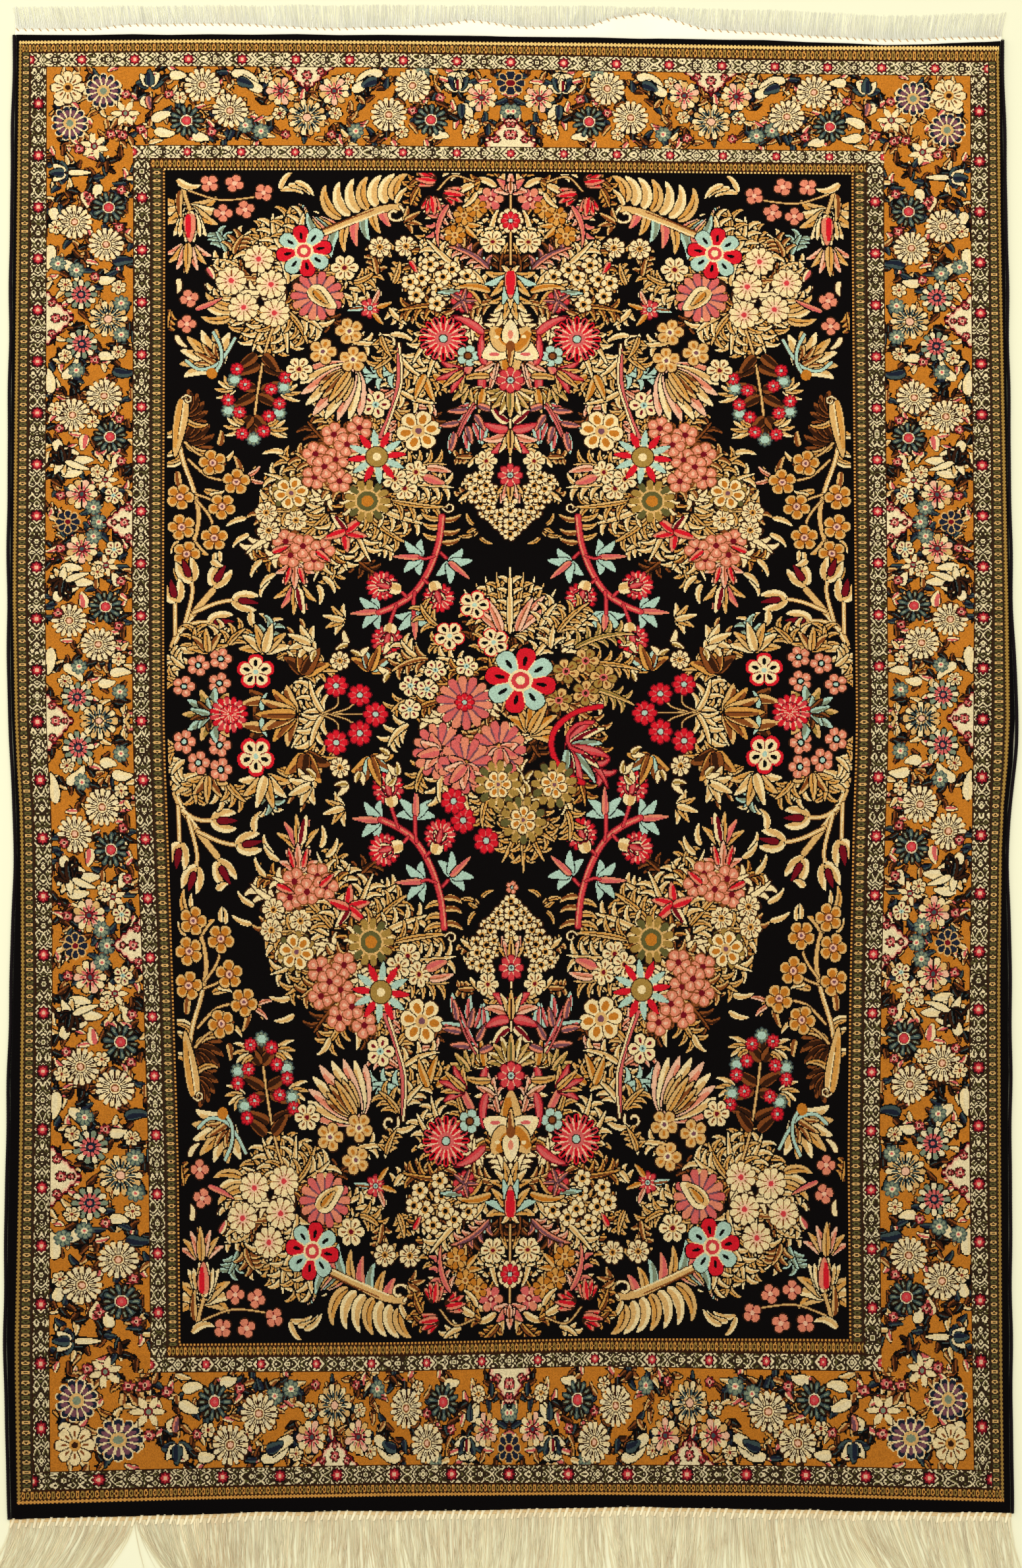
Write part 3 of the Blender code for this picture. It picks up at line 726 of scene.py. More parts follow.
def end_centre():
    """The bouquet on the middle line at each end: pansy, two chrysanthemums, small pale clusters, palmette."""
    bush(772, 1796, 150, 124, 4, seed=8, start=88, end=272)
    bush(690, 1926, 56, 34, 1, 34, 26, ("gold", "salmon", "cream"), seed=9)
    wreath(772, 1826, 112, 86, 100, 182, 12, 46, 24, -10, "rust")
    fronds(34,
            (700, 1740, -140, 80, 26, "cream"), (690, 1765, -160, 74, 26, "gold"), (684, 1790, 178, 78, 20, "rust"),
            (690, 1820, 160, 74, 10, "gold"), (700, 1850, 140, 72, -10, "cream"), (720, 1870, 120, 62, -20, "shade"),
            (712, 1712, -118, 70, 20, "gold"), (676, 1728, -120, 66, 20, "cream"), (662, 1740, -132, 58, 20, "cream"))
    for x, y in (
            (637, 1807), (670, 1815), (645, 1836), (689, 1851), (711, 1839), (657, 1860), (667, 1792), (628, 1830),
            (700, 1822), (676, 1838)):
        flower(x, y, 13, "forget")
    frond(757, 1690, -106, 62, 30, 0, "salmon")
    leaf(735, 1672, -100, 62, 13, 30, "coral")
    leaves(56, 13, None,
            (720, 1690, -125, 20, "rose"), (735, 1740, 130, 40, "coral"), (720, 1800, 150, 40, "sage"),
            (730, 1790, 120, 40, "gold"), (745, 1812, 150, 50, "ochre"), (745, 1850, 120, 50, "mint"))
    frond(742, 1852, 128, 72, 26, 44, "plum", "salmon")
    frond(684, 1962, -128, 72, 27, 50, "rose", "salmon")
    fan(700, 1930, -80, 130, 40, 12, 5, "ochre", 20)
    flowers("cream6", 19, (748, 1898))
    fan(775, 1806, -90, 110, 44, 13, 6, "gold", 26, second="cream")
    fan(775, 1838, -90, 170, 48, 15, 8, "gold", 30, second="mint")
    leaf(775, 1848, -90, 46, 20, 0, "red")
    flower(705, 1796, 17, "rose8")
    for turn in (0, 72, 144, 216, 288):
        leaf(705, 1796, turn, 22, 7, 10, "plum")
    flower(677, 1732, 37, "mum")
    flowers("mint5", 17, (713, 1702))
    stem(((775, 1860), (774, 1930), (773, 1985)), 3.4, "tan")
    for x, y, turn, length, bend in ((752, 1992, 130, 44, 70), (736, 1986, 170, 40, 90), (762, 1998, 100, 30, -20)):
        leaf(x, y, turn, length, 12, bend, "cream")
    flowers("lily", 19, (745, 1972))
    flowers("amber", 16, (693, 1910), (706, 1944), (724, 1956))
    for x, y, turn, bend in (
            (730, 2004, -160, 40), (700, 2016, 170, -40), (650, 2010, -170, 50), (640, 1994, -130, 40),
            (756, 2010, 120, 40)):
        frond(x, y, turn, 34, 20, bend, "rust" if bend > 0 else "cream")
    leaf(720, 1996, 190, 40, 12, 60, "cream")
    leaf(724, 1984, -110, 34, 9, -40, "cream")
    for x, y, turn in ((660, 1976, -95), (678, 1984, -20), (664, 2002, 160)):
        fan(x, y, turn, 70, 32, 12, 4, "red")
    stem(((668, 1988), (690, 2012), (720, 2002)), 2.2, "tan")
    leaf(628, 1866, -60, 22, 9, 0, "red")


def end_centre_middle():
    """What lies on the middle line of the end bouquets."""
    flower(774, 1934, 20, "cream10")
    flower(774, 1934, 14, "red8")
    fan(773, 1984, 90, 150, 32, 15, 5, "salmon", 30, second="rose")
    fan(773, 2000, -90, 60, 20, 10, 3, "salmon")
    leaf(775, 1724, -90, 66, 40, 0, "ochre")
    for way in (-1, 1):
        leaf(775, 1726, -90 + way * 52, 50, 44, way * 14, "cloud")
        leaf(775, 1716, 90 - way * 50, 44, 40, way * 20, "ochre")
        oval(775 + way * 23, 1704, 8, 3, "rose")
        oval(775 + way * 20, 1734, 4, 3, "cream")
    leaf(775, 1722, 90, 40, 30, 0, "cloud")
    leaf(775, 1724, -90, 40, 12, 0, "brown")
    oval(775, 1718, 7, 9, "brown")
    oval(775, 1738, 4, 7, "salmon")


def pale_spire():
    """The pointed bunch of small pale flowers on the middle line, over a rose and a salmon fan."""
    leaves(24, 7, "gold",
            (727, 1374, -120, -70), (724, 1378, -165, 60), (722, 1384, 150, -60), (730, 1364, -60, 60),
            (720, 1368, -150, -50))
    for x, y, turn, long in ((722, 1442, -170, 26), (720, 1500, 165, 26), (756, 1510, 120, 30)):
        frond(x, y, turn, long, 20, 30, "gold" if long > 28 else "brown")
    for k, (x, y) in enumerate(((750, 1514), (738, 1504), (730, 1470), (728, 1440))):
        leaf(x, y, -160 - 6 * k, 34, 11, 50, "cream")
    for x, y, r in (
            (766, 1376, 9), (756, 1386, 9), (748, 1397, 10), (760, 1402, 10), (736, 1404, 8), (744, 1412, 10),
            (732, 1420, 10), (722, 1430, 9), (738, 1434, 11), (750, 1428, 9), (724, 1446, 11), (740, 1452, 11),
            (754, 1444, 8), (716, 1462, 9), (730, 1466, 11), (742, 1472, 9)):
        flower(x, y, r, "forget", turn=x * 7.0)
    flower(740, 1494, 17, "cream6")
    leaf(764, 1450, -110, 30, 10, 30, "gold")
    leaf(768, 1444, -120, 24, 8, 30, "salmon")
    leaves(36, 14, "lilac",
            (716, 1580, -130, 30), (704, 1560, -178, 24), (712, 1548, -96, 20), (722, 1560, -60, -30),
            (694, 1544, -112, 20), (728, 1590, -178, 20), (736, 1560, -84, -20))
    stem([(740, 1610), (716, 1576), (696, 1530)], 3, "rose", None)
    fan(736, 1618, -100, 130, 40, 13, 7, "tan", 24, second="ochre")
    fan(712, 1626, -130, 90, 36, 12, 5, "olive", 24)
    fan(750, 1664, -150, 90, 34, 12, 5, "salmon", 30, second="cream")
    leaf(744, 1640, 170, 46, 12, 40, "gold")
    leaf(738, 1660, 110, 50, 12, -30, "coral")


def pale_spire_middle():
    """What lies on the middle line of the pale bunches: their tips, stalk, coral leaves and a rosette at each end."""
    for x, y in ((776, 1368), (776, 1386), (776, 1408), (776, 1424)):
        flower(x, y, 11, "forget")
    stem(((776, 1420), (776, 1500), (776, 1570)), 3, "cream")
    fan(776, 1458, -90, 90, 34, 12, 5, "gold", second="salmon")
    flower(776, 1469, 18, "rose8")
    for way in (-1, 1):
        for k, (long, kind) in enumerate(((34, "coral"), (40, "salmon"), (38, "coral"))):
            leaf(776 + way * 4, 1532 + 8 * k, -90 + way * (26 + 30 * k), long, 15, way * 40, kind)
        leaf(776 + way * 4, 1560, -90 + way * 120, 36, 15, way * 30, "wine")
        leaf(776 + way * 3, 1540, -90 + way * 14, 34, 10, way * 20, "cream")
    leaf(776, 1548, -90, 44, 12, 0, "gold")
    fan(776, 1616, -90, 150, 46, 14, 9, "olive", 20, second="tan")
    flower(776, 1633, 20, "rose8")


def rose_sprig():
    """A sprig of pointed leaves, rose in mint edges, beside the spire."""
    stem(((692, 1532), (706, 1570), (722, 1600)), 2.0, "rose")
    for x, y, turn in (
            (694, 1548, -100), (712, 1560, -75), (700, 1566, 190), (712, 1588, 185), (724, 1580, -60),
            (728, 1596, -20)):
        leaf(x, y, turn, 30, 11, 0, "plum")
    for x, y, turn in ((650, 1646, -80), (662, 1650, -40), (650, 1650, -120)):
        leaf(x, y, turn, 44, 13, 20, "ochre")
    fan(706, 1655, -150, 90, 44, 11, 6, "coral", 20, second="gold")


def flank():
    """The group at mid side, the same above and below its own line: roses, red peony and a fan of gold leaves."""
    middle = 1084
    for turn, length, bend in (
            (-150, 74, 30), (-165, 72, 20), (180, 74, 0), (165, 72, -20), (150, 74, -30), (-130, 64, 40),
            (130, 64, -40)):
        frond(492, middle, turn, length, 40, bend, "gold" if length == 72 else "cream")
    stem(((486, middle), (552, middle)), 2.6, "tan")
    for way in (-1, 1):
        stem(((486, middle), (512, middle + way * 14), (510, middle + way * 42)), 1.8, "tan")
        stem(((500, middle), (530, middle + way * 10), (545, middle + way * 28)), 1.8, "tan")
        for x, up, turn, length, kind in (
                (430, 92, 60, 62, "brown"), (420, 84, 30, 60, "gold"), (440, 70, 45, 56, "cream"),
                (405, 104, 95, 48, "cream"), (455, 60, 20, 60, "gold"), (300, 96, 110, 40, "gold"),
                (325, 100, 75, 40, "cream"), (345, 104, 60, 40, "gold"), (280, 70, 150, 30, "cream"),
                (270, 50, 170, 26, "gold"), (395, 100, 75, 50, "sage")):
            frond(x, middle + way * up, way * turn, length, 32, -way * 30, kind)
        for x, up, turn, spread, length, width, count, kind, second in (
                (462, 60, 80, 84, 52, 22, 4, "shade", "rust"), (402, 94, 92, 130, 50, 17, 6, "gold", "cream"),
                (316, 94, 95, 120, 40, 13, 5, "gold", "brown"), (470, 108, 156, 130, 36, 14, 5, "cream", "cream"),
                (562, 66, 70, 120, 44, 17, 5, "rust", "teal"), (522, 142, 165, 120, 34, 11, 5, "cream", "gold"),
                (402, 22, 190, 60, 36, 18, 3, "shade", "brown")):
            fan(x, middle + way * up, way * turn, spread, length, width, count, kind, 30, second)
        for x, up in ((301, 74), (335, 84), (279, 42), (333, 47)):
            flower(x, middle + way * up, 17, "salmon5")
        flower(388, middle + way * 64, 29, "redback5", 18 * way)
        flower(388, middle + way * 64, 24, "redrim5", 18 * way)
        for x, up, turn, long in (
                (604, 92, -150, 22), (590, 62, 160, 20), (528, 106, 120, 24), (546, 88, 60, 20), (478, 96, 170, 22),
                (590, 108, -100, 20)):
            leaf(x, middle + way * up, way * turn, long, 10, 30, "pale")
            leaf(x, middle + way * up, way * (turn + 70), long - 3, 9, -30, "tan")
        flower(510, middle + way * 43, 17, "red8")
        flower(546, middle + way * 29, 17, "red8")
        flower(516, middle + way * 81, 15, "cream8")
        leaf(398, middle + way * 6, way * 100, 30, 8, -way * 50, "mint")
    flower(570, middle, 18, "red8")
    fan(448, middle, 180, 130, 60, 21, 7, "brown", 20, second="rust")
    fan(326, middle, 180, 210, 50, 19, 9, "olive", 36, second="sage")
    fan(318, middle, 180, 150, 32, 11, 6, "shade", 20, second="sage")
    flower(347, middle, 28, "carnation")
    flower(349, middle, 15, "carnation")


at_both_ends(gold_branch, 12)
at_both_ends(bud_branch, -12)
at_both_ends(side_bouquet, -26)
at_both_ends(corner_bouquet, 0)
at_both_ends(end_centre, -10)
at_both_ends(pale_spire, -28)
at_both_ends(rose_sprig, -24)
at_both_ends(coral_branch, -22)
flank()
cartoon[:, MIDDLE_COLUMN:] = cartoon[:, :MIDDLE_COLUMN][:, ::-1]
at_both_ends(end_centre_middle, -10)
at_both_ends(pale_spire_middle, -28)


def middle_bouquet():
    """The bouquet in the middle of the rug, the one that differs from left to right."""
    bush(770, 1040, 146, 112, 4, 46, 30, seed=12)
    bush(796, 1216, 62, 62, 2, 50, 32, ("gold", "shade", "olive", "cream", "tan"), seed=13)
    for turn, length, kind in (
            (-166, 96, "gold"), (-14, 96, "gold"), (-150, 104, "cream"), (-30, 104, "cream"), (-134, 100, "gold"),
            (-46, 100, "gold"), (-120, 104, "cream"), (-60, 104, "cream"), (-106, 104, "gold"), (-74, 104, "gold"),
            (-90, 112, "cream")):
        frond(773, 962, turn, length, 30, -(turn + 90) * 0.55, kind)
    for way in (-1, 1):
        for turn, length in ((26, 72), (42, 66), (14, 60)):
            leaf(773 + way * 12, 958, -90 + way * turn, length, 15, way * 20, "salmon")
    for turn, length in ((130, 62), (110, 76), (90, 84), (70, 76), (50, 62)):
        frond(794, 1238, turn, length, 32, (90 - turn) * -0.6, "gold" if turn % 4 else "cream")
    for x, y, turn, bend, kind in (
            (640, 1000, -160, 50, "cream"), (632, 1060, 170, -40, "gold"), (620, 1100, 160, -50, "cream"),
            (650, 1160, 140, -50, "gold"), (672, 1176, 118, -50, "cream"), (704, 1190, 96, -40, "cream"),
            (664, 950, -150, 50, "gold"), (740, 1210, 120, -40, "gold"), (850, 1200, 40, 50, "cream"),
            (860, 1230, 60, 50, "gold"), (820, 950, -70, 30, "cream"), (842, 962, -50, 30, "gold"),
            (856, 980, -30, 30, "cream"), (836, 984, -90, 20, "cream"), (866, 962, -60, 30, "cream")):
        frond(x, y, turn, 46, 32, bend, kind)
    for x, y, turn, long, bend, kind in (
            (872, 984, -34, 96, 40, "olive"), (880, 1010, -10, 94, 30, "gold"), (880, 1040, 12, 92, 20, "olive"),
            (862, 1070, 30, 80, 20, "brown"), (870, 1100, 30, 74, 40, "rust"), (870, 1140, 20, 76, 50, "coral"),
            (866, 1160, 50, 66, 40, "rust"), (846, 960, -60, 70, 30, "gold"), (650, 1000, 180, 60, -40, "brown")):
        frond(x, y, turn, long, 34, bend, kind)
    flowers("redrim5", 22, (720, 918), (682, 965), (749, 975))
    flowers("cream5", 17, (708, 1011), (661, 1017), (623, 1041), (622, 1077), (648, 1046))
    flowers("olive6", 20, (889, 1003), (859, 1019), (889, 1052), (848, 1063), (916, 1028))
    fan(804, 1112, -60, 130, 52, 17, 7, "ochre", 40, second="gold")
    for k in range(9):
        leaf(860, 1138, -64 + 19 * k, 66 if k % 2 else 56, 14, 34, ("coral", "wine", "sage")[k % 3])
    stem(((912, 1072), (872, 1082), (842, 1108), (838, 1140), (856, 1172), (884, 1188)), 7, "red", "wine")
    stem(((900, 1096), (876, 1100), (862, 1116), (866, 1134), (884, 1142)), 4, "coral", "wine")
    for x, y, turn in ((667, 1140, 150), (757, 1137, 80), (706, 1162, 115)):
        flower(x, y, 41, "pink16", turn)
        fan(x, y, turn, 160, 36, 17, 6, "salmon", 30, second="rose")
    flower(705, 1066, 43, "pink16", 8)
    flower(705, 1066, 14, "red8")
    flower(790, 1033, 54, "wheel", 12)
    flowers("olive", 35, (756, 1191), (841, 1191), (794, 1245))
    flowers("gold6", 20, (756, 1191), (841, 1191), (794, 1245))
    flowers("red8", 18, (703, 1245), (738, 1276), (688, 1216))
    flower(777, 1347, 9, "salmon5")


middle_bouquet()


def crescents(*rows):
    """Narrow curved leaves from rows of (x, y, turn, bend, length), pale ones unless a row ends with another kind."""
    for x, y, turn, bend, length, *kind in rows:
        leaf(x, y, turn, length, 17, bend, *kind or ["cloud"])


def lappet(x, y, turn, half, deep):
    """A scalloped bracket that hangs from a guard into the border: ivory and pink sprigs within a wine outline."""
    area, dx, dy = patch(x, y, half + deep)
    c, s = cos(radians(turn)), sin(radians(turn))
    ahead, aside = dx * c + dy * s, np.abs(dy * c - dx * s)
    edge = half * np.clip(1 - ahead / deep, -1, 1) + 1.6 * np.sin(ahead * 0.7)
    for grown, yarn in ((0, "night"), (-2.2, "wine"), (-5, "blush"), (-9, "ivory")):
        area[(ahead > -8) & (aside < edge + grown)] = YARN[yarn]
    for far, side, r in ((0.30, 0, 7), (0.16, 0.5, 5.5), (0.16, -0.5, 5.5), (0.62, 0, 4)):
        px, py = x + far * deep * c - side * half * s, y + far * deep * s + side * half * c
        flower(px, py, r, "red", turn)


def sprigs(count, across, down, seed, kinds):
    """Small leaves in pairs on short stalks, the filling between the rosettes."""
    chance = np.random.default_rng(seed)
    for k in range(count):
        x, y, turn = chance.uniform(*across), chance.uniform(*down), chance.uniform(0, 360)
        stem([(x, y), on_arc(x, y, turn, 30, 14)], 2.4, "night", None)
        for side in (-1, 1):
            leaf(x, y, turn + side * 34, chance.uniform(15, 22), 8.5, side * 40, kinds[(k + (side > 0)) % 8])


def border_quarter():
    """One quarter of the main border, from the middle of the top round the corner to the middle of the side."""
    sprigs(260, (84, 780), (96, 222), 21, ("cream", "brown", "shade", "dark", "brown", "bud", "night", "rust"))
    sprigs(430, (66, 206), (230, 1130), 22, ("cream", "night", "shade", "dark", "brown", "night", "shade", "bud"))
    # Across the top: leaves, buds and lappets behind, then the rosettes.
    crescents(
            (352, 112, -10, 60, 44), (398, 136, 190, 60, 38), (580, 112, 190, -60, 44), (534, 136, -10, -60, 38),
            (360, 122, 10, 30, 26, "dark"), (572, 122, 170, -30, 26, "dark"), (232, 184, -50, 60, 34),
            (236, 196, 40, -60, 32), (258, 116, -20, 40, 26), (700, 160, 30, 40, 26), (684, 122, -50, 60, 30),
            (706, 124, -130, -60, 30), (214, 150, 30, 40, 24), (656, 206, -20, 50, 26), (292, 208, -10, 40, 26))
    fan(227, 130, -90, 150, 26, 15, 5, "dark", second="cloud")
    fan(696, 136, -90, 140, 28, 15, 5, "cloud", second="dark")
    leaf(696, 136, -90, 20, 11, 0, "wine")
    leaf(700, 158, 90, 24, 12, 0, "dark")
    leaf(224, 146, 80, 22, 10, 0, "plum")
    flowers("red", 7, (191, 143), (256, 143), (321, 200), (668, 148), (433, 204), (503, 204), (626, 168))
    flowers("cream6", 10, (273, 148), (403, 117), (528, 120), (424, 172), (509, 172), (332, 142), (610, 200))
    flowers("grey", 11, (396, 199), (540, 199), (771, 169), (372, 190), (640, 110))
    flowers("orange", 27, (307, 129), (349, 168), (590, 174), (626, 130))
    flowers("slate", 25, (283, 183), (654, 182))
    flowers("daisy", 29, (466, 178))
    flowers("blushed", 23, (427, 138), (507, 138), (731, 148))
    flowers("cream8", 12, (716, 192))
    flowers("anemone", 19, (773, 126))
    lappet(466, 102, 90, 42, 40)
    lappet(772, 219, -90, 38, 48)
    # The corner.
    crescents((84, 158, -40, 60, 34))
    flowers("cream8", 26, (103, 133))
    flowers("navy", 27, (157, 138), (106, 187))
    flowers("point6", 22, (190, 172), (143, 222))
    flowers("red", 7, (214, 196), (168, 204), (120, 226), (186, 205))
    # Down the side.
    fan(98, 262, 180, 150, 24, 15, 5, "dark", second="cloud")
    leaf(104, 262, 0, 34, 11, 0, "cloud")
    crescents(
            (76, 372, 80, 30, 40), (76, 596, -80, -30, 40), (94, 398, 20, 70, 42), (94, 572, -20, -70, 42),
            (172, 400, -30, 50, 34, "dark"), (172, 562, 30, -50, 34, "dark"), (150, 424, 20, -50, 26),
            (150, 542, -20, 50, 26), (82, 690, -30, 60, 40), (92, 716, 20, -40, 34), (112, 700, -10, 10, 30, "ivory"),
            (82, 890, 30, -60, 40), (92, 864, -20, 40, 34), (112, 882, 10, -10, 30, "ivory"), (84, 668, 60, 40, 26),
            (84, 912, -60, -40, 26), (76, 984, 80, 30, 44), (96, 1012, 10, 60, 40), (168, 1024, -30, 50, 32),
            (150, 1036, 20, -50, 26), (78, 316, 60, 40, 24), (126, 292, 60, 30, 26, "bud"), (150, 280, 100, 20, 26),
            (128, 660, 90, 20, 26, "bud"), (128, 922, -90, -20, 26, "bud"), (180, 690, 100, 30, 24),
            (180, 890, -100, -30, 24))
    for y, side in ((700, -1), (882, 1)):
        fan(94, y, -100 * side, 110, 25, 13, 4, "cloud", second="cream")
        fan(96, y, 100 * side, 150, 26, 14, 5, "night")
        leaf(100, y, -30 * side, 38, 11, 20 * side, "cloud")
    flowers("orange", 27, (113, 337), (161, 371), (158, 601), (110, 630), (105, 942), (149, 978))
    flowers("slate", 25, (165, 315), (167, 663), (160, 921))
    flowers("teal", 24, (123, 447), (124, 522), (117, 1058))
    flowers("daisy", 29, (164, 484), (150, 1096))
    flowers("blushed", 24, (124, 750), (124, 833))
    flowers("point6", 19, (160, 728), (161, 858))
    flowers("cream5", 14, (172, 752), (173, 834))
    flowers("anemone", 18, (103, 792))
    flowers("red", 7,
            (92, 752), (92, 832), (184, 700), (184, 882), (136, 300), (184, 288), (181, 345), (181, 636), (180, 950),
            (90, 650), (88, 930), (144, 420), (144, 546))
    flowers("cream6", 11,
            (99, 432), (99, 540), (180, 436), (180, 534), (99, 1034), (148, 716), (148, 868), (140, 640), (84, 345),
            (180, 1000), (84, 620))
    flowers("grey", 11,
            (142, 770), (142, 814), (150, 792), (116, 410), (116, 562), (88, 400), (120, 1012), (182, 1050), (184, 460),
            (184, 508), (160, 1140))
    lappet(72, 483, 0, 46, 42)
    lappet(203, 793, 180, 44, 48)
    lappet(72, 1094, 0, 46, 42)


inner = cartoon[ROW_AT[5]:ROW_AT[7], COLUMN_AT[5]:COLUMN_AT[7]].copy()
cartoon[:] = YARN["ochre"]
border_quarter()
cartoon[MIDDLE_ROW:, :MIDDLE_COLUMN] = YARN["ochre"]
side = cartoon[ROW_AT[3]:MIDDLE_ROW, :MIDDLE_COLUMN]
cartoon[MIDDLE_ROW:MIDDLE_ROW + len(side), :MIDDLE_COLUMN] = side[::-1]
cartoon[:, MIDDLE_COLUMN:] = cartoon[:, :MIDDLE_COLUMN][:, ::-1]
cartoon[ROW_AT[5]:ROW_AT[7], COLUMN_AT[5]:COLUMN_AT[7]] = inner
# The last border was not woven quite to the first one's count: its motifs stand nearer the middle.
foot = cartoon[ROW_AT[8]:ROW_AT[9], :MIDDLE_COLUMN]
foot[:] = foot[:, np.interp(np.arange(MIDDLE_COLUMN), (0, 95, 176, 223, 320, 500, MIDDLE_COLUMN - 1),
                            (0, 95, 163, 208, 297, 492, MIDDLE_COLUMN - 1)).astype(int)]
cartoon[ROW_AT[8]:ROW_AT[9], MIDDLE_COLUMN:] = foot[:, ::-1]


def guard(strip, counted):
    """An ivory guard: jagged wine and coral rosettes with small grey ones between, in a lattice of dark leaves."""
    rosettes, leaves = counted
    long, wide = strip.shape
    along, aside = np.mgrid[0:long, 0:wide] + 0.5
    aside -= wide / 2
    step = long / rosettes
    strip[:] = YARN["ivory"]
    lean = np.where(np.mod(np.floor(along / 8) + np.floor((aside + 40) / 4.4), 2) > 0, 1.15, -1.15)
    slant = np.mod(along + 1.4 * np.sin(along * 0.41) + lean * aside, 5.6)
    strip[slant < leaves] = YARN["pine"]
    strip[(slant > 4.2) & (np.mod(along, 13) < 8)] = YARN["moss"]
    for start, size, rings in ((0.5, 9.4, ((6.6, "night"), (5.7, "wine"), (3.9, "coral"), (2.0, "blush"))),
                               (0.0, 5.6, ((3.9, "pine"), (2.6, "ivory"), (1.4, "moss")))):
        away = (np.mod(along / step + start, 1) - 0.5) * step
        far = np.hypot(away, aside) / (1 + 0.13 * np.cos(8 * np.arctan2(aside, away)))
        strip[np.abs(away) + np.abs(aside) < size + 2] = YARN["pine"]
        strip[np.abs(away) + np.abs(aside) < size] = YARN["ivory"]
        for r, yarn in rings:
            strip[far < r * wide / 19] = YARN[yarn]
    strip[:, 0] = strip[:, -1] = YARN["umber"]


def beads(strip, ground, kinds, pitch, long, wide, heart=None):
    """A band of oval beads down its middle, their kinds by turns."""
    place = (np.arange(strip.shape[0])[:, None] + 0.5) / pitch
    aside = np.arange(strip.shape[1])[None, :] + 0.5 - strip.shape[1] / 2
    far = np.hypot((np.mod(place, 1) - 0.5) * 2 * pitch / long, aside / (wide / 2))
    strip[:] = YARN[ground]
    for k, kind in enumerate(kinds):
        strip[(far < 1) & (np.floor(place) % len(kinds) == k)] = YARN[kind]
    if heart:
        strip[far < 0.45] = YARN[heart]


def frame_band(c0, c1, top, bottom, paint, sides, upper, lower):
    """Paints a band round the rug: columns c0 to c1 from either side, and its rows at the top and bottom."""
    (t0, t1), (b0, b1) = top, bottom
    for strip, value in ((cartoon[t0:b1, c0:c1], sides), (cartoon[t0:b1, WIDE - c1:WIDE - c0][:, ::-1], sides),
                         (cartoon[t0:t1, c0:WIDE - c0].T, upper), (cartoon[b0:b1, c0:WIDE - c0].T[:, ::-1], lower)):
        paint(strip, value)


def plain(strip, yarn):
    """A band of one yarn."""
    strip[:] = YARN[yarn]


def bead_line(strip, bead):
    """A line of small beads, one to every four knots."""
    beads(strip, "umber", (bead,), 4.0, 3.1, strip.shape[1] + 1)


def bead_band(strip, kinds):
    """A band of large beads with dark hearts; kinds are its ground and then its beads."""
    ground, *kinds = kinds
    beads(strip, ground, kinds, 4.6, 3.7, 8.4, ground)


c, r = COLUMN_AT, ROW_AT
dull, bright = ("pine", "moss", "tan"), ("umber", "gold", "olive")
frame_band(0, c[1], (0, r[1]), (r[11], TALL), plain, "night", "night", "night")
frame_band(c[1], c[1] + 4, (r[1], r[1] + 4), (r[11] - 4, r[11]), bead_line, "olive", "bead", "gold")
frame_band(c[1] + 4, c[2], (r[1] + 4, r[2]), (r[10], r[11] - 4), bead_band, dull, bright, bright)
frame_band(c[2], c[3], (r[2], r[3]), (r[9], r[10]), guard, (26, 3.0), (18, 2.1), (16, 3.0))
frame_band(c[4], c[4] + 19, (r[4], r[4] + 16), (r[8] - 16, r[8]), guard, (22, 3.0), (14, 2.1), (13, 3.0))
frame_band(c[4] + 19, c[5] - 5, (r[4] + 16, r[5] - 5), (r[7] + 5, r[8] - 16), bead_band, dull, bright, bright)
frame_band(c[5] - 5, c[5] - 3, (r[5] - 5, r[5] - 3), (r[7] + 3, r[7] + 5), bead_line, "gold", "bead", "gold")
frame_band(c[5] - 3, c[5], (r[5] - 3, r[5]), (r[7], r[7] + 3), plain, "night", "night", "night")

# No knot is tied alone: one with nobody of its yarn beside it takes its neighbour's, but the lines' own knots stay.
edged = np.pad(cartoon, 1, mode="edge")
beside = [edged[1 + j:1 + j + TALL, 1 + i:1 + i + WIDE] == cartoon for j, i in ((-1, 0), (1, 0), (0, -1), (0, 1))]
slanting = [edged[1 + j:1 + j + TALL, 1 + i:1 + i + WIDE] == cartoon for j, i in ((-1, -1), (1, -1), (-1, 1), (1, 1))]
lone = ~np.any(beside, axis=0) & (np.sum(slanting, axis=0) < 2)
cartoon[lone] = edged[1:-1, :-2][lone]

# ---------------------------------------------------------------------------------------------------------------
# The pile: wool knotted round pairs of warps and clipped level, 8 mm off the floor. Each patch of one yarn is a face,
# cut along tiles that keep the cartoon's lines true where the rug bows, and the rim's own tufts run down its sides.

RIM, ROOTS = 7.0 * MM, 0.8 * MM
SIDE_TUFTS = 5                  # rows of tufts that show down the rim
TILE = 48                       # knots a side

padded_cartoon = np.pad(cartoon, SIDE_TUFTS, constant_values=YARN["night"])


def tile_lines(bands):
    """The knot lines that the pile is cut along: each band's edges, tiles inside it, and the rim."""
    lines = {-SIDE_TUFTS, 0, 1, int(bands[-1]) - 1, int(bands[-1]), int(bands[-1]) + SIDE_TUFTS}
    for start, end in zip(bands, bands[1:]):
        lines.update(int(k) for k in np.linspace(start, end, ceil((end - start) / TILE) + 1).round())
    return np.array(sorted(lines))


def heights_of(lines, last):
    """How high the pile stands at each line: level inside, lower at the rim, and at its roots beyond."""
    return np.where((lines < 0) | (lines > last), ROOTS, np.where((lines == 0) | (lines == last), RIM, TOP))


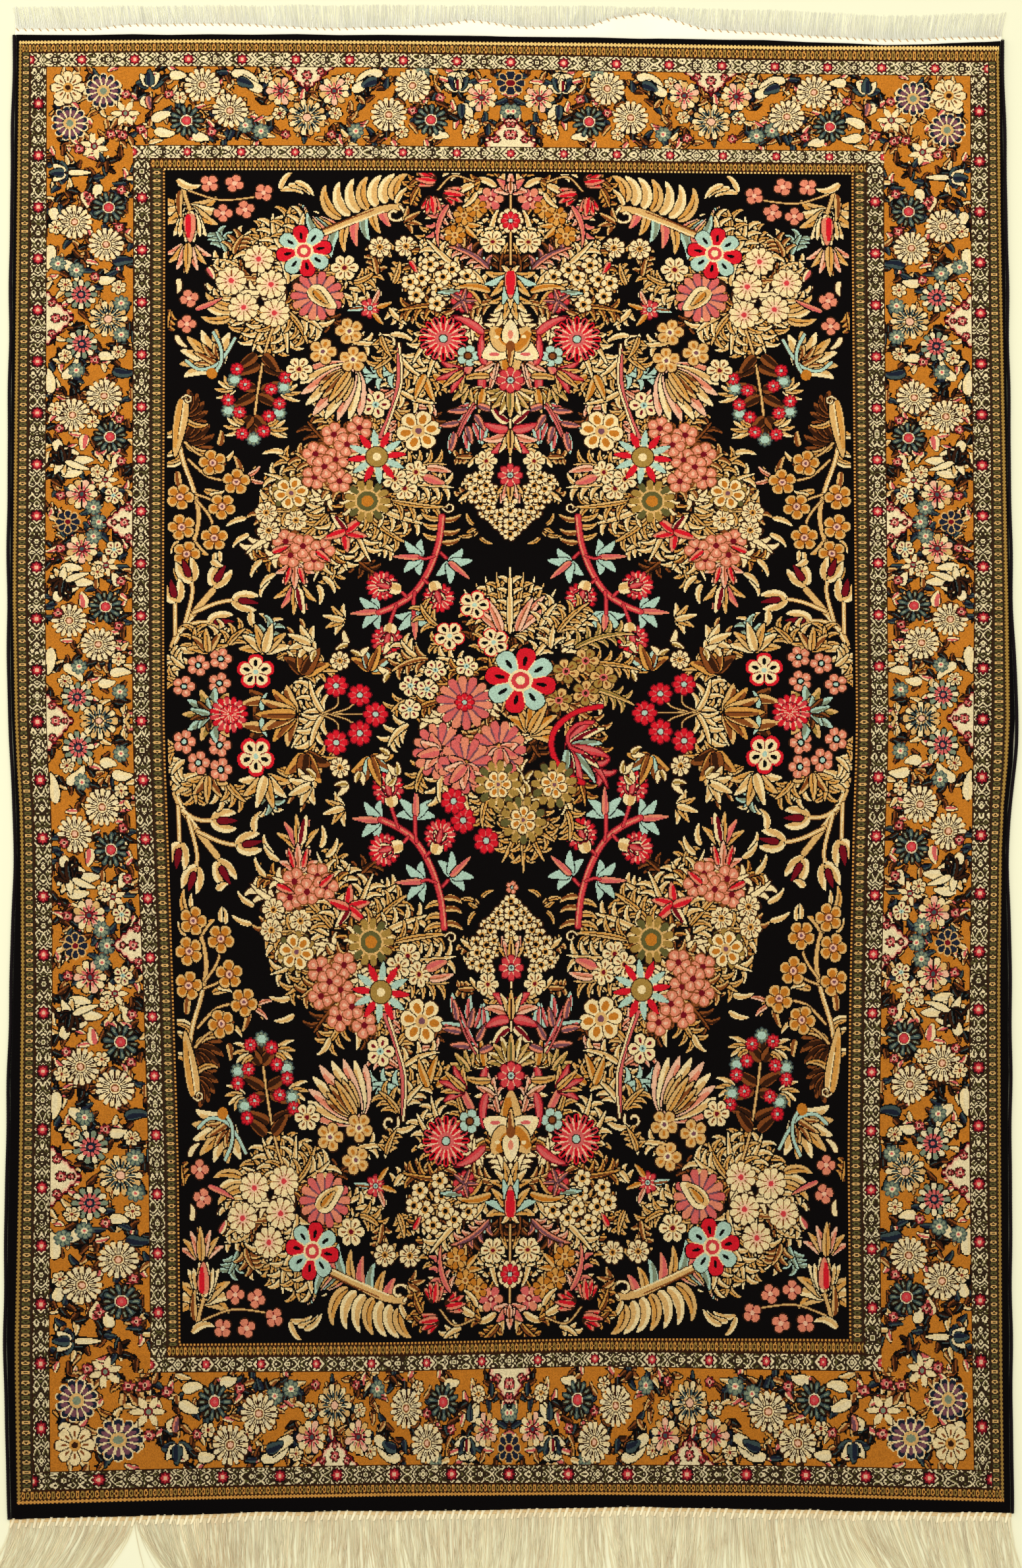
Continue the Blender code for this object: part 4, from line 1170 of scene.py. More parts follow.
tile_columns, tile_rows = tile_lines(COLUMN_AT), tile_lines(ROW_AT)
corner_columns, corner_rows = np.meshgrid(np.clip(tile_columns, 0, WIDE), np.clip(tile_rows, 0, TALL))
corner_places = np.stack([
    *on_rug(*place_of(corner_columns, corner_rows)),
    np.minimum(heights_of(tile_columns, WIDE)[None, :], heights_of(tile_rows, TALL)[:, None])], axis=-1)


def pile_place(columns, rows):
    """Metres for knot corners, straight between the corners of their tile."""
    i = np.clip(np.searchsorted(tile_columns, columns, side="right") - 1, 0, len(tile_columns) - 2)
    j = np.clip(np.searchsorted(tile_rows, rows, side="right") - 1, 0, len(tile_rows) - 2)
    s = ((columns - tile_columns[i]) / (tile_columns[i + 1] - tile_columns[i]))[:, None]
    t = ((rows - tile_rows[j]) / (tile_rows[j + 1] - tile_rows[j]))[:, None]
    upper = corner_places[j, i] * (1 - s) + corner_places[j, i + 1] * s
    lower = corner_places[j + 1, i] * (1 - s) + corner_places[j + 1, i + 1] * s
    return upper * (1 - t) + lower * t


def patches_of_one_yarn(knots, tile_starts, tile_tops):
    """Column, row, width and height of rectangles of one yarn inside their tiles: runs along a row, joined down."""
    tall, wide = knots.shape
    starts = np.ones((tall, wide), bool)
    starts[:, 1:] = knots[:, 1:] != knots[:, :-1]
    starts[:, tile_starts[:-1]] = True
    row, column = np.nonzero(starts)
    number = np.zeros((tall, wide), int)
    number[starts] = np.arange(len(row))
    width = np.diff(np.append(row * wide + column, tall * wide))
    above = np.where(starts[row - 1, column], number[row - 1, column], 0)
    joins = starts[row - 1, column] & (width[above] == width) & ~np.isin(row, tile_tops)
    joins &= knots[row, column] == knots[row - 1, column]
    head = np.where(joins, above, np.arange(len(row)))
    while (head[head] != head).any():
        head = head[head]
    height, first = np.bincount(head, minlength=len(row)), ~joins
    return np.stack([column[first], row[first], width[first], height[first]])


def fewest_patches():
    """In each tile, the patches of runs along its rows or down its columns, whichever are fewer."""
    starts, tops = tile_columns + SIDE_TUFTS, tile_rows + SIDE_TUFTS
    both = [patches_of_one_yarn(padded_cartoon, starts, tops),
            patches_of_one_yarn(padded_cartoon.T, tops, starts)[[1, 0, 3, 2]]]
    tiles = [np.searchsorted(tops, p[1], side="right") * len(starts) + np.searchsorted(starts, p[0], side="right")
             for p in both]
    size = max(t.max() for t in tiles) + 1
    counts = [np.bincount(t, minlength=size) for t in tiles]
    down = counts[1] < counts[0]
    kept = np.concatenate([both[0][:, ~down[tiles[0]]], both[1][:, down[tiles[1]]]], axis=1)
    kept[:2] -= SIDE_TUFTS
    return kept


patch_column, patch_row, patch_width, patch_height = fewest_patches()
patch_yarn = padded_cartoon[patch_row + SIDE_TUFTS, patch_column + SIDE_TUFTS]
TUFT_SHADE = 0.80                 # the share of each yarn's colour kept: painted shade that darkens the pile as the shadows between its tufts would
tuft_shaded_yarns = np.array([(*(TUFT_SHADE * c for c in linear(colour)), 1) for colour in YARNS.values()])


def node(tree, kind, inputs=(), **settings):
    """A node with its settings. Its inputs are given by name or number, each a value or the socket that feeds it."""
    made = tree.nodes.new(kind)
    for name, value in settings.items():
        setattr(made, name, value)
    for key, value in dict(inputs).items():
        if isinstance(value, bpy.types.NodeSocket):
            tree.links.new(value, made.inputs[key])
        else:
            made.inputs[key].default_value = value
    return made


def math(tree, operation, *values):
    """What a sum makes of its values or sockets."""
    return node(tree, "ShaderNodeMath", enumerate(values), operation=operation).outputs[0]


def vector(tree, operation, *values):
    """The same for vectors."""
    return node(tree, "ShaderNodeVectorMath", enumerate(values), operation=operation).outputs[0]


def remap(tree, value, start, end, to_start, to_end, **settings):
    """The value's run from start to end, laid on another run."""
    inputs = {"Value": value, "From Min": start, "From Max": end, "To Min": to_start, "To Max": to_end}
    return node(tree, "ShaderNodeMapRange", inputs, **settings).outputs["Result"]


def node_group(name, kind, inputs, outputs):
    """A node group with its sockets, from rows of (name, kind) or (name, kind, value); its two ends' sockets too."""
    group = bpy.data.node_groups.new(name, kind)
    for in_out, rows in (("INPUT", inputs), ("OUTPUT", outputs)):
        for title, socket_kind, *value in rows:
            socket = group.interface.new_socket(title, in_out=in_out, socket_type="NodeSocket" + socket_kind)
            if value:
                socket.default_value = value[0]
    return group, group.nodes.new("NodeGroupInput").outputs, group.nodes.new("NodeGroupOutput")


def wire_all(tree, target, **sources):
    """Links sources to the target's inputs of the same names, with spaces for underscores."""
    for name, source in sources.items():
        tree.links.new(source, target.inputs[name.replace("_", " ")])


def wool_group():
    """Hand-spun wool: the tone shifts from dye lot to dye lot along the rug and from knot to knot, and a painted sheen
    lightens it towards the short-fringed end.
    """
    group, given, put = node_group(
        "hand-spun wool", "ShaderNodeTree",
        (("Yarn", "Color"), ("Loom", "Vector"), ("Knots Vary", "Float", 0.3), ("Dye Lots Vary", "Float", 0.2),
         ("Tuft Depth", "Float", 0.5)),
        (("Colour", "Color"), ("Roughness", "Float"), ("Normal", "Vector")))

    def vary(source, amount):
        """1 plus or minus half of amount."""
        return math(group, "MULTIPLY_ADD", math(group, "SUBTRACT", source, 0.5), amount, 1.0)

    knot = vector(group, "FLOOR", given["Loom"])
    chance = node(group, "ShaderNodeTexWhiteNoise", {"Vector": knot}, noise_dimensions="2D").outputs["Value"]
    stretched = vector(group, "MULTIPLY", given["Loom"], (0.004, 0.035, 1))
    lots = node(group, "ShaderNodeTexNoise", {"Vector": stretched, "Scale": 1.0, "Detail": 3.0}, noise_dimensions="2D")
    tone = math(group, "MULTIPLY", vary(chance, given["Knots Vary"]), vary(lots.outputs["Fac"], given["Dye Lots Vary"]))
    # Painted light: the colour is scaled from 0.8 at the long-fringed end to 1.2 at the other, a sheen painted in for
    # the nap that lies towards the long fringe and looks lighter from the other end.
    place = node(group, "ShaderNodeTexCoord").outputs["Object"]
    along = node(group, "ShaderNodeSeparateXYZ", {0: place}).outputs["Y"]
    painted_nap_sheen = math(group, "MULTIPLY", tone, remap(group, along, -1.0, 1.0, 0.80, 1.20))
    toned = node(group, "ShaderNodeVectorMath", {0: given["Yarn"], "Scale": painted_nap_sheen}, operation="SCALE")
    # A tuft is a small cushion: high in the middle of its knot, with its own height.
    offset = vector(group, "SUBTRACT", vector(group, "FRACTION", given["Loom"]), (0.5, 0.5, 0))
    flat = vector(group, "MULTIPLY", offset, (1, 1, 0))
    far = node(group, "ShaderNodeVectorMath", {0: flat}, operation="LENGTH").outputs["Value"]
    cushion = remap(group, far, 0.65, 0.15, 0.0, 1.0, interpolation_type="SMOOTHSTEP")
    height = math(group, "MULTIPLY_ADD", chance, 0.5, cushion)
    bump = node(group, "ShaderNodeBump", {"Distance": 0.4 * MM, "Height": height, "Strength": given["Tuft Depth"]})
    wire_all(group, put, Colour=toned.outputs[0], Roughness=remap(group, chance, 0.0, 1.0, 0.75, 0.98),
             Normal=bump.outputs["Normal"])
    return group


def woollen(name, colour, knots=0.4, lots=0.2, depth=0.5, attribute=None, uv="loom"):
    """Wool of one colour, or of the colours in a mesh attribute."""
    material, tree, shader = principled(name, colour, 0.9, sheen=0.02)
    shader.inputs["Sheen Roughness"].default_value = 0.5
    shader.inputs["Specular IOR Level"].default_value = 0.04
    if uv:
        loom = node(tree, "ShaderNodeUVMap", uv_map=uv).outputs["UV"]
    else:
        place = node(tree, "ShaderNodeTexCoord").outputs["Object"]
        knots_a_metre = 1 / (KNOT * SQUARE)
        loom = node(tree, "ShaderNodeVectorMath", {0: place, "Scale": knots_a_metre}, operation="SCALE").outputs[0]
    yarn = (*linear(colour), 1)
    if attribute:
        yarn = node(tree, "ShaderNodeAttribute", attribute_name=attribute).outputs["Color"]
    wool = node(tree, "ShaderNodeGroup", {
        "Yarn": yarn, "Loom": loom, "Knots Vary": knots, "Dye Lots Vary": lots, "Tuft Depth": depth,
    }, node_tree=bpy.data.node_groups.get("hand-spun wool") or wool_group())
    wire_all(tree, shader, Base_Color=wool.outputs["Colour"], Roughness=wool.outputs["Roughness"],
             Normal=wool.outputs["Normal"])
    return material


pile_wool = woollen("knotted wool", (133, 97, 62), attribute="yarn")


MARGIN = 0.004                  # the part of the baking map left free along its edges


def pile_piece(name, chosen):
    """One piece of the pile from the patches chosen, with its yarns, its loom counts and its baking map."""
    column, row, width, height = patch_column[chosen], patch_row[chosen], patch_width[chosen], patch_height[chosen]
    columns = np.stack([column, column + width, column + width, column], axis=1)
    rows = np.stack([row + height, row + height, row, row], axis=1)
    step = WIDE + 2 * SIDE_TUFTS + 1
    keys, corner = np.unique(((rows + SIDE_TUFTS) * step + columns + SIDE_TUFTS).ravel(), return_inverse=True)
    points = pile_place(keys % step - SIDE_TUFTS, keys // step - SIDE_TUFTS)
    count = len(column)
    mesh = bpy.data.meshes.new(name)
    mesh.vertices.add(len(points))
    mesh.vertices.foreach_set("co", points.astype(np.float32).ravel())
    mesh.loops.add(4 * count)
    mesh.loops.foreach_set("vertex_index", corner.astype(np.int32).ravel())
    mesh.polygons.add(count)
    mesh.polygons.foreach_set("loop_start", np.arange(0, 4 * count, 4, dtype=np.int32))
    mesh.update(calc_edges=True)
    across = (columns - columns.min()) / (columns.max() - columns.min())
    down = (rows - rows.min()) / (rows.max() - rows.min())
    baked = MARGIN + (1 - 2 * MARGIN) * across, 1 - MARGIN - (1 - 2 * MARGIN) * down
    for uv, u, v in (("OFBake", *baked), ("loom", columns, TALL - rows)):
        layer = mesh.uv_layers.new(name=uv)
        layer.data.foreach_set("uv", np.stack([u, v], axis=-1).astype(np.float32).ravel())
    yarn = mesh.attributes.new("yarn", "FLOAT_COLOR", "FACE")
    yarn.data.foreach_set("color", tuft_shaded_yarns[patch_yarn[chosen]].astype(np.float32).ravel())
    mesh.materials.append(pile_wool)
    made = in_scene(name, mesh)
    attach(made, "root")
    return made


def inside(columns, rows):
    """Which patches start within a block of knots."""
    return ((patch_column >= columns[0]) & (patch_column < columns[1])
            & (patch_row >= rows[0]) & (patch_row < rows[1]))


real_face = ~(((patch_column < 0) | (patch_column >= WIDE)) & ((patch_row < 0) | (patch_row >= TALL)))
in_field = inside((c[5], c[7]), (r[5], r[7]))
in_border = inside((c[3], c[9]), (r[3], r[9])) & ~inside((c[4], c[8]), (r[4], r[8]))
for name, band, parts in (("pile_field", in_field, 3), ("pile_border", in_border, 2),
                          ("pile_guards", real_face & ~in_field & ~in_border, 2)):
    rows_of_band = np.linspace(patch_row[band].min(), patch_row[band].max() + 1, parts + 1)
    edges = [tile_rows[np.argmin(abs(tile_rows - k))] for k in rows_of_band]
    for k in range(parts):
        chosen = band & (patch_row >= edges[k]) & (patch_row < edges[k + 1])
        pile_piece(f"{name}_{k + 1}", chosen)

# ---------------------------------------------------------------------------------------------------------------
# The foundation: cotton warps and wefts under the knots, one flat cloth. From the back the pattern shows in coarse
# bands between the weft rows, and the cloth's own edge is hidden by the rim's tufts and the side cords.

UNDER, BACK = 7.4 * MM, 0.0     # its top, which the pile hides, and its underside on the floor
CELL = 12                       # knots a side, for the pattern as the back shows it
cloth_columns = np.append(np.arange(1, WIDE - CELL, CELL), WIDE - 1)
cloth_rows = np.append(np.arange(1, TALL - CELL, CELL), TALL - 1)
tall, wide = len(cloth_rows), len(cloth_columns)
cloth_x, cloth_y = on_rug(*place_of(*np.meshgrid(cloth_columns, cloth_rows)))
rim = [(0, i) for i in range(wide - 1)] + [(j, wide - 1) for j in range(tall - 1)]
rim += [(tall - 1, i) for i in range(wide - 1, 0, -1)] + [(j, 0) for j in range(tall - 1, 0, -1)]
points = [(x, y, BACK) for x, y in zip(cloth_x.ravel(), cloth_y.ravel())]
points += [(cloth_x[p], cloth_y[p], UNDER) for p in rim]
faces = [(j * wide + i, j * wide + i + 1, (j + 1) * wide + i + 1, (j + 1) * wide + i)
         for j in range(tall - 1) for i in range(wide - 1)]
cells = len(faces)
for k, (j, i) in enumerate(rim):
    after = (k + 1) % len(rim)
    faces.append((tall * wide + k, tall * wide + after, rim[after][0] * wide + rim[after][1], j * wide + i))
faces.append(tuple(range(tall * wide + len(rim) - 1, tall * wide - 1, -1)))
foundation = plain_mesh("foundation", points, faces)
WEFT_LIGHT, WEFT_SHARE = (0.45, 0.33, 0.2, 1.0), 0.15        # the wefts' own light, and how much of it shows behind
seen_behind = np.tile(WEFT_LIGHT, (len(faces), 1))
middles = np.meshgrid((cloth_columns[:-1] + cloth_columns[1:]) // 2, (cloth_rows[:-1] + cloth_rows[1:]) // 2)
# The back takes the yarns with the pile's painted tuft shade, mixed with the wefts' own colour.
seen_behind[:cells] = WEFT_SHARE * seen_behind[:cells] + (1 - WEFT_SHARE) * sum(
    tuft_shaded_yarns[cartoon[middles[1] + j, middles[0] + i]].reshape(-1, 4) for j in (-2, 0, 2) for i in (-2, 0, 2)) / 9
cloth_yarn = foundation.data.attributes.new("yarn", "FLOAT_COLOR", "FACE")
cloth_yarn.data.foreach_set("color", seen_behind.astype(np.float32).ravel())
foundation.data.materials.append(woollen("back of the knots", (150, 118, 84), 0.5, 0.3, 0.7, "yarn", uv=None))
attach(foundation, "root")
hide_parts("carpet")

# ---------------------------------------------------------------------------------------------------------------
# The side cords: bundled warps overcast with dark wool, worked along both sides as the rug was woven. Geometry Nodes
# lay a tube along the side and wrap it in stitches, each leaning the way the needle went.


def made_by(tree, name, points, edges, values, **inputs):
    """What a node tree makes on a mesh of bare points and edges, as a mesh object at the origin. The points carry
    values, lists by name, and the tree's inputs are given by name, with underscores for spaces."""
    holder = plain_mesh(name + "_path", points, [], edges)
    for key, numbers in values.items():
        holder.data.attributes.new(key, "FLOAT", "POINT").data.foreach_set("value", numbers)
    modifier = holder.modifiers.new("made", "NODES")
    modifier.node_group = tree
    for item in tree.interface.items_tree:
        if item.in_out == "INPUT" and item.name.replace(" ", "_") in inputs:
            modifier[item.identifier] = inputs[item.name.replace(" ", "_")]
    bpy.context.view_layer.update()
    mesh = bpy.data.meshes.new_from_object(holder.evaluated_get(bpy.context.evaluated_depsgraph_get()))
    holder.modifiers.clear()
    bpy.data.objects.remove(holder)
    mesh.name = name
    return in_scene(name, mesh)


def overcast_tree():
    """A tube along a path, and stitches that go round it."""
    tree, given, put = node_group(
        "overcast cord", "GeometryNodeTree",
        (("Path", "Geometry"), ("Radius", "Float", CORD / 2 * MM), ("Stitch Pitch", "Float", 4.0 * MM),
         ("Stitch Thickness", "Float", 0.5 * MM), ("Lean", "Float", 0.5), ("Wool", "Material")),
        (("Cord", "Geometry"),))

    def ring(points, radius):
        """A circle of so many points."""
        inputs = {"Resolution": points, "Radius": radius}
        return node(tree, "GeometryNodeCurvePrimitiveCircle", inputs).outputs["Curve"]

    def tube(curve, profile, caps):
        """A profile swept along a curve."""
        inputs = {"Curve": curve, "Profile Curve": profile, "Fill Caps": caps}
        return node(tree, "GeometryNodeCurveToMesh", inputs).outputs["Mesh"]

    path = node(tree, "GeometryNodeMeshToCurve", {"Mesh": given["Path"]}).outputs["Curve"]
    inner = math(tree, "SUBTRACT", given["Radius"], given["Stitch Thickness"])
    core = tube(path, ring(8, inner), True)
    # One stitch is a ring of thread, thin across. It leans the way the needle went.
    stitch = tube(ring(6, inner), ring(3, given["Stitch Thickness"]), False)
    places = node(tree, "GeometryNodeCurveToPoints", {"Curve": path, "Length": given["Stitch Pitch"]}, mode="LENGTH")
    lean = node(tree, "ShaderNodeCombineXYZ", {"X": given["Lean"]}).outputs[0]
    turn = node(tree, "FunctionNodeEulerToRotation", {0: lean}).outputs[0]
    tip = node(tree, "FunctionNodeRotateRotation", {"Rotation": places.outputs["Rotation"], "Rotate By": turn},
               rotation_space="LOCAL")
    placed = node(tree, "GeometryNodeInstanceOnPoints", {
        "Points": places.outputs["Points"], "Instance": stitch, "Rotation": tip.outputs["Rotation"]})
    both = node(tree, "GeometryNodeJoinGeometry")
    for source in (core, placed.outputs["Instances"]):
        wire_all(tree, both, Geometry=source)
    real = node(tree, "GeometryNodeRealizeInstances", {"Geometry": both.outputs["Geometry"]})
    wool = node(tree, "GeometryNodeSetMaterial", {"Geometry": real.outputs["Geometry"], "Material": given["Wool"]})
    wire_all(tree, put, Cord=wool.outputs["Geometry"])
    return tree


overcast = overcast_tree()
cord_wool = woollen("dark overcast wool", (24, 18, 20), 0.6, 0.4, 0.6, uv=None)
for name, edge, inwards in (("side_cord_left", SIDE_LEFT, 1), ("side_cord_right", SIDE_RIGHT, -1)):
    ends = (END_BOTTOM[0], END_TOP[0]) if inwards > 0 else (END_BOTTOM[-1], END_TOP[-1])
    xs = edge + inwards * CORD / 2 * MM + SHIFT[0]
    ys = ends[0] + (ends[1] - ends[0]) * SHARES + SHIFT[1]
    path = [(x, y, CORD / 2 * MM) for x, y in zip(xs, ys)]
    steps = [(k, k + 1) for k in range(len(path) - 1)]
    cord = made_by(overcast, name, path, steps, {}, Lean=0.5 * inwards, Wool=cord_wool)
    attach(cord, "root")
    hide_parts("selvedge_left" if inwards > 0 else "selvedge_right")

# ---------------------------------------------------------------------------------------------------------------
# The fringes: the foundation's own cotton warps beyond the last knots, held by a narrow plain-woven web. At one end
# they are short and combed flat, at the other they are gathered in slanted hitches and left long.


END_LINES = {}
for up, row in ((0, TALL), (1, 0)):
    columns = np.arange(0, WIDE + 1, 8)
    END_LINES[up] = on_rug(*place_of(columns, np.full(len(columns), row)))


def end_at(up, x):
    """Where the knotted part ends at x, up 0 for the end with the long fringe and 1 for the other, in metres."""
    return np.interp(x, *END_LINES[up])


def cotton_group():
    """Hand-spun cotton: tinted tan in noisy patches, each warp with its own tone, and its twist as a fine bump."""
    group, given, put = node_group(
        "cotton thread", "ShaderNodeTree",
        (("Cotton", "Color"), ("Place", "Vector"), ("Own Tone", "Float", 0.5), ("Soil", "Float", 0.5)),
        (("Colour", "Color"), ("Normal", "Vector")))
    tan_patches = node(group, "ShaderNodeTexNoise", {"Vector": given["Place"], "Scale": 14.0, "Detail": 4.0}).outputs["Fac"]
    patches = remap(group, tan_patches, 0.45, 0.75, 0.0, given["Soil"])
    greyed = node(group, "ShaderNodeMix", {"Factor": patches, 6: given["Cotton"], 7: (0.72, 0.50, 0.25, 1)},
                  data_type="RGBA").outputs[2]
    tone = remap(group, given["Own Tone"], 0.0, 1.0, 0.76, 1.0)
    toned = node(group, "ShaderNodeVectorMath", {0: greyed, "Scale": tone}, operation="SCALE")
    twist = node(group, "ShaderNodeTexNoise", {"Vector": given["Place"], "Scale": 900.0}).outputs["Fac"]
    bump = node(group, "ShaderNodeBump", {"Distance": 0.3 * MM, "Strength": 0.6, "Height": twist})
    wire_all(group, put, Colour=toned.outputs[0], Normal=bump.outputs["Normal"])
    return group


def cotton(name, colour, tan_patches, tone=None):
    """Cotton of one colour. Loose warps carry their tone in an attribute, woven cotton has one tone."""
    material, tree, shader = principled(name, colour, 0.85)
    own = node(tree, "ShaderNodeAttribute", attribute_name=tone).outputs["Fac"] if tone else 0.85
    place = node(tree, "ShaderNodeTexCoord").outputs["Object"]
    thread = node(tree, "ShaderNodeGroup", {
        "Cotton": (*linear(colour), 1), "Soil": tan_patches, "Own Tone": own, "Place": place,
    }, node_tree=bpy.data.node_groups.get("cotton thread") or cotton_group())
    wire_all(tree, shader, Base_Color=thread.outputs["Colour"], Normal=thread.outputs["Normal"])
    return material


cotton_warps = cotton("cotton warps", (255, 243, 204), 0.45, "own")
pale_warps = cotton("pale cotton warps", (255, 254, 238), 0.15, "own")
cotton_web = cotton("woven cotton", (255, 252, 230), 0.1)
# The long fringe's web is tan as painted shade for the gaps between the hitches that lie on it.
cotton_shade = cotton("shaded woven cotton", (222, 192, 138), 0.3)
# The hem stitches are tan as painted shade: their tan stands in for the shadows in the gaps of the knot row.
hem_thread_painted_shade = cotton("hem thread tan for painted shade", (206, 156, 74), 0.3, "own")


def fringe_tree():
    """Strands that lie on the floor from their roots, each with its own lean, length and waver."""
    tree, given, put = node_group(
        "fringe strands", "GeometryNodeTree",
        (("Roots", "Geometry"), ("Away", "Float", 1.0), ("Steps", "Int", 8), ("Sides", "Int", 3),
         ("Thickness", "Float", 0.5 * MM), ("Bow", "Float", 1.4), ("Waver", "Float", 3 * MM), ("Seed", "Float", 1.0),
         ("Cotton", "Material")),
        (("Fringe", "Geometry"),))

    def combined(**inputs):
        """A vector from its X, Y and Z."""
        return node(tree, "ShaderNodeCombineXYZ", inputs).outputs[0]

    def root_value(name):
        """A value that the roots carry."""
        inputs = {"Name": name}
        return node(tree, "GeometryNodeInputNamedAttribute", inputs, data_type="FLOAT").outputs["Attribute"]

    # One strand: a straight line that tapers, its points numbered from 0 at the root to 1 at the tip.
    line = node(tree, "GeometryNodeCurvePrimitiveLine", {"End": (0, 1, 0)}).outputs["Curve"]
    steps = node(tree, "GeometryNodeResampleCurve", {"Curve": line, "Count": given["Steps"]}).outputs["Curve"]
    share = node(tree, "GeometryNodeSplineParameter").outputs["Factor"]
    kept = node(tree, "GeometryNodeStoreNamedAttribute", {"Geometry": steps, "Name": "share", "Value": share},
                data_type="FLOAT", domain="POINT").outputs["Geometry"]
    taper = math(tree, "MULTIPLY_ADD", share, -0.45, 1.0)
    ring = node(tree, "GeometryNodeCurvePrimitiveCircle", {"Resolution": given["Sides"], "Radius": 1.0})
    strand = node(tree, "GeometryNodeCurveToMesh", {
        "Curve": kept, "Profile Curve": ring.outputs["Curve"], "Scale": taper})
    size = combined(X=given["Thickness"], Y=root_value("long"), Z=given["Thickness"])
    flip = combined(Z=math(tree, "MULTIPLY_ADD", given["Away"], -pi / 2, pi / 2))
    turn = node(tree, "FunctionNodeEulerToRotation", {0: flip}).outputs[0]
    placed = node(tree, "GeometryNodeInstanceOnPoints", {
        "Points": given["Roots"], "Instance": strand.outputs["Mesh"], "Rotation": turn, "Scale": size})
    real = node(tree, "GeometryNodeRealizeInstances", {"Geometry": placed.outputs["Instances"]})
    # Each strand leans, bows and wavers more towards its tip, and drops from its root to its own layer on the floor.
    along = root_value("share")
    place = node(tree, "GeometryNodeInputPosition").outputs[0]
    shift = combined(X=given["Seed"], Z=math(tree, "MULTIPLY", root_value("own"), 1.6))
    seeded = vector(tree, "MULTIPLY_ADD", place, (90, 22, 0), shift)
    noise = node(tree, "ShaderNodeTexNoise", {"Vector": seeded, "Scale": 1.0, "Detail": 2.0}, noise_dimensions="3D")
    waver = math(tree, "MULTIPLY", math(tree, "SUBTRACT", noise.outputs["Fac"], 0.5), given["Waver"])
    aside = math(tree, "MULTIPLY", waver, math(tree, "MULTIPLY", math(tree, "POWER", along, 0.8), 4.0))
    leaning = math(tree, "MULTIPLY", root_value("lean"), math(tree, "POWER", along, given["Bow"]))
    fall = math(tree, "SUBTRACT", root_value("layer"), root_value("root"))
    drop = math(tree, "MULTIPLY", fall, math(tree, "MINIMUM", math(tree, "MULTIPLY", along, 5.0), 1.0))
    offset = combined(X=math(tree, "ADD", aside, leaning), Z=drop)
    moved = node(tree, "GeometryNodeSetPosition", {"Geometry": real.outputs["Geometry"], "Offset": offset})
    spun = node(tree, "GeometryNodeSetMaterial", {"Geometry": moved.outputs["Geometry"], "Material": given["Cotton"]})
    wire_all(tree, put, Fringe=spun.outputs["Geometry"])
    return tree


fringe_strands = fringe_tree()
LOCKS = 132                     # bunches of warps at each end
INSET = 4 * MM                  # from the side cords' outer edges to the outermost warps
# Rows of share along, and mm: where the hem ends at the top, and how far each end's strands lean and reach.
HEM = ((0.00, 8), (0.08, 9), (0.13, 15), (0.24, 15), (0.30, 9), (0.40, 12), (0.46, 22), (0.52, 14), (0.58, 16),
       (0.61, 30), (0.64, 36), (0.67, 26), (0.70, 15), (0.75, 11), (0.85, 8), (1.00, 7))
TOP_STRANDS = ((0.0, -5, 40), (0.3, -1, 42), (0.6, 1, 45), (1.0, 5, 41))
BOTTOM_STRANDS = (
    (0.00, -30, 98), (0.05, -40, 105), (0.09, -62, 108), (0.124, -86, 110), (0.125, 70, 110), (0.15, 34, 110),
    (0.20, 2, 112), (0.30, 2, 110), (0.50, -3, 113), (0.70, 2, 110), (0.78, 20, 109), (0.84, 62, 107), (0.89, 40, 106),
    (0.94, 21, 105), (1.00, 12, 103),
)


def laid_strands(name, up, roots, cotton_used, **inputs):
    """One piece of strands from rows of (x, y, z, long, lean, layer, own), in metres."""
    values = dict(zip(("root", "long", "lean", "layer", "own"), list(zip(*roots))[2:]))
    strands = made_by(fringe_strands, name, [row[:3] for row in roots], [], values,
                      Away=1.0 if up else -1.0, Cotton=cotton_used, **inputs)
    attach(strands, "root")
    return strands


def web_piece(name, up, left, right, reach):
    """The web, a bent strip that follows the end, with a rounded outer edge reach(x) mm away."""
    away = 1 if up else -1
    stops = np.linspace(left, right, 2 * LOCKS + 1)
    section = ((0.0, 0.0), (0.0, 3.0), (0.45, 3.0), (0.8, 2.7), (1.0, 1.8), (1.0, 0.0))     # share outwards, mm up
    points = [(x, end_at(up, x) + away * (0.2 + d * (reach(x) - 0.2)) * MM, z * MM)
              for x in stops for d, z in section]
    n, last = len(section), len(section) * (len(stops) - 1)
    faces = [(k + j, k + (j + 1) % n, k + n + (j + 1) % n, k + n + j) for k in range(0, last, n) for j in range(n)]
    faces += [tuple(range(n))[::-1], tuple(range(last, last + n))]
    woven = plain_mesh(name, points, [face[::-away] for face in faces])
    woven.data.materials.append(cotton_web if up else cotton_shade)
    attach(woven, "root")
    return woven


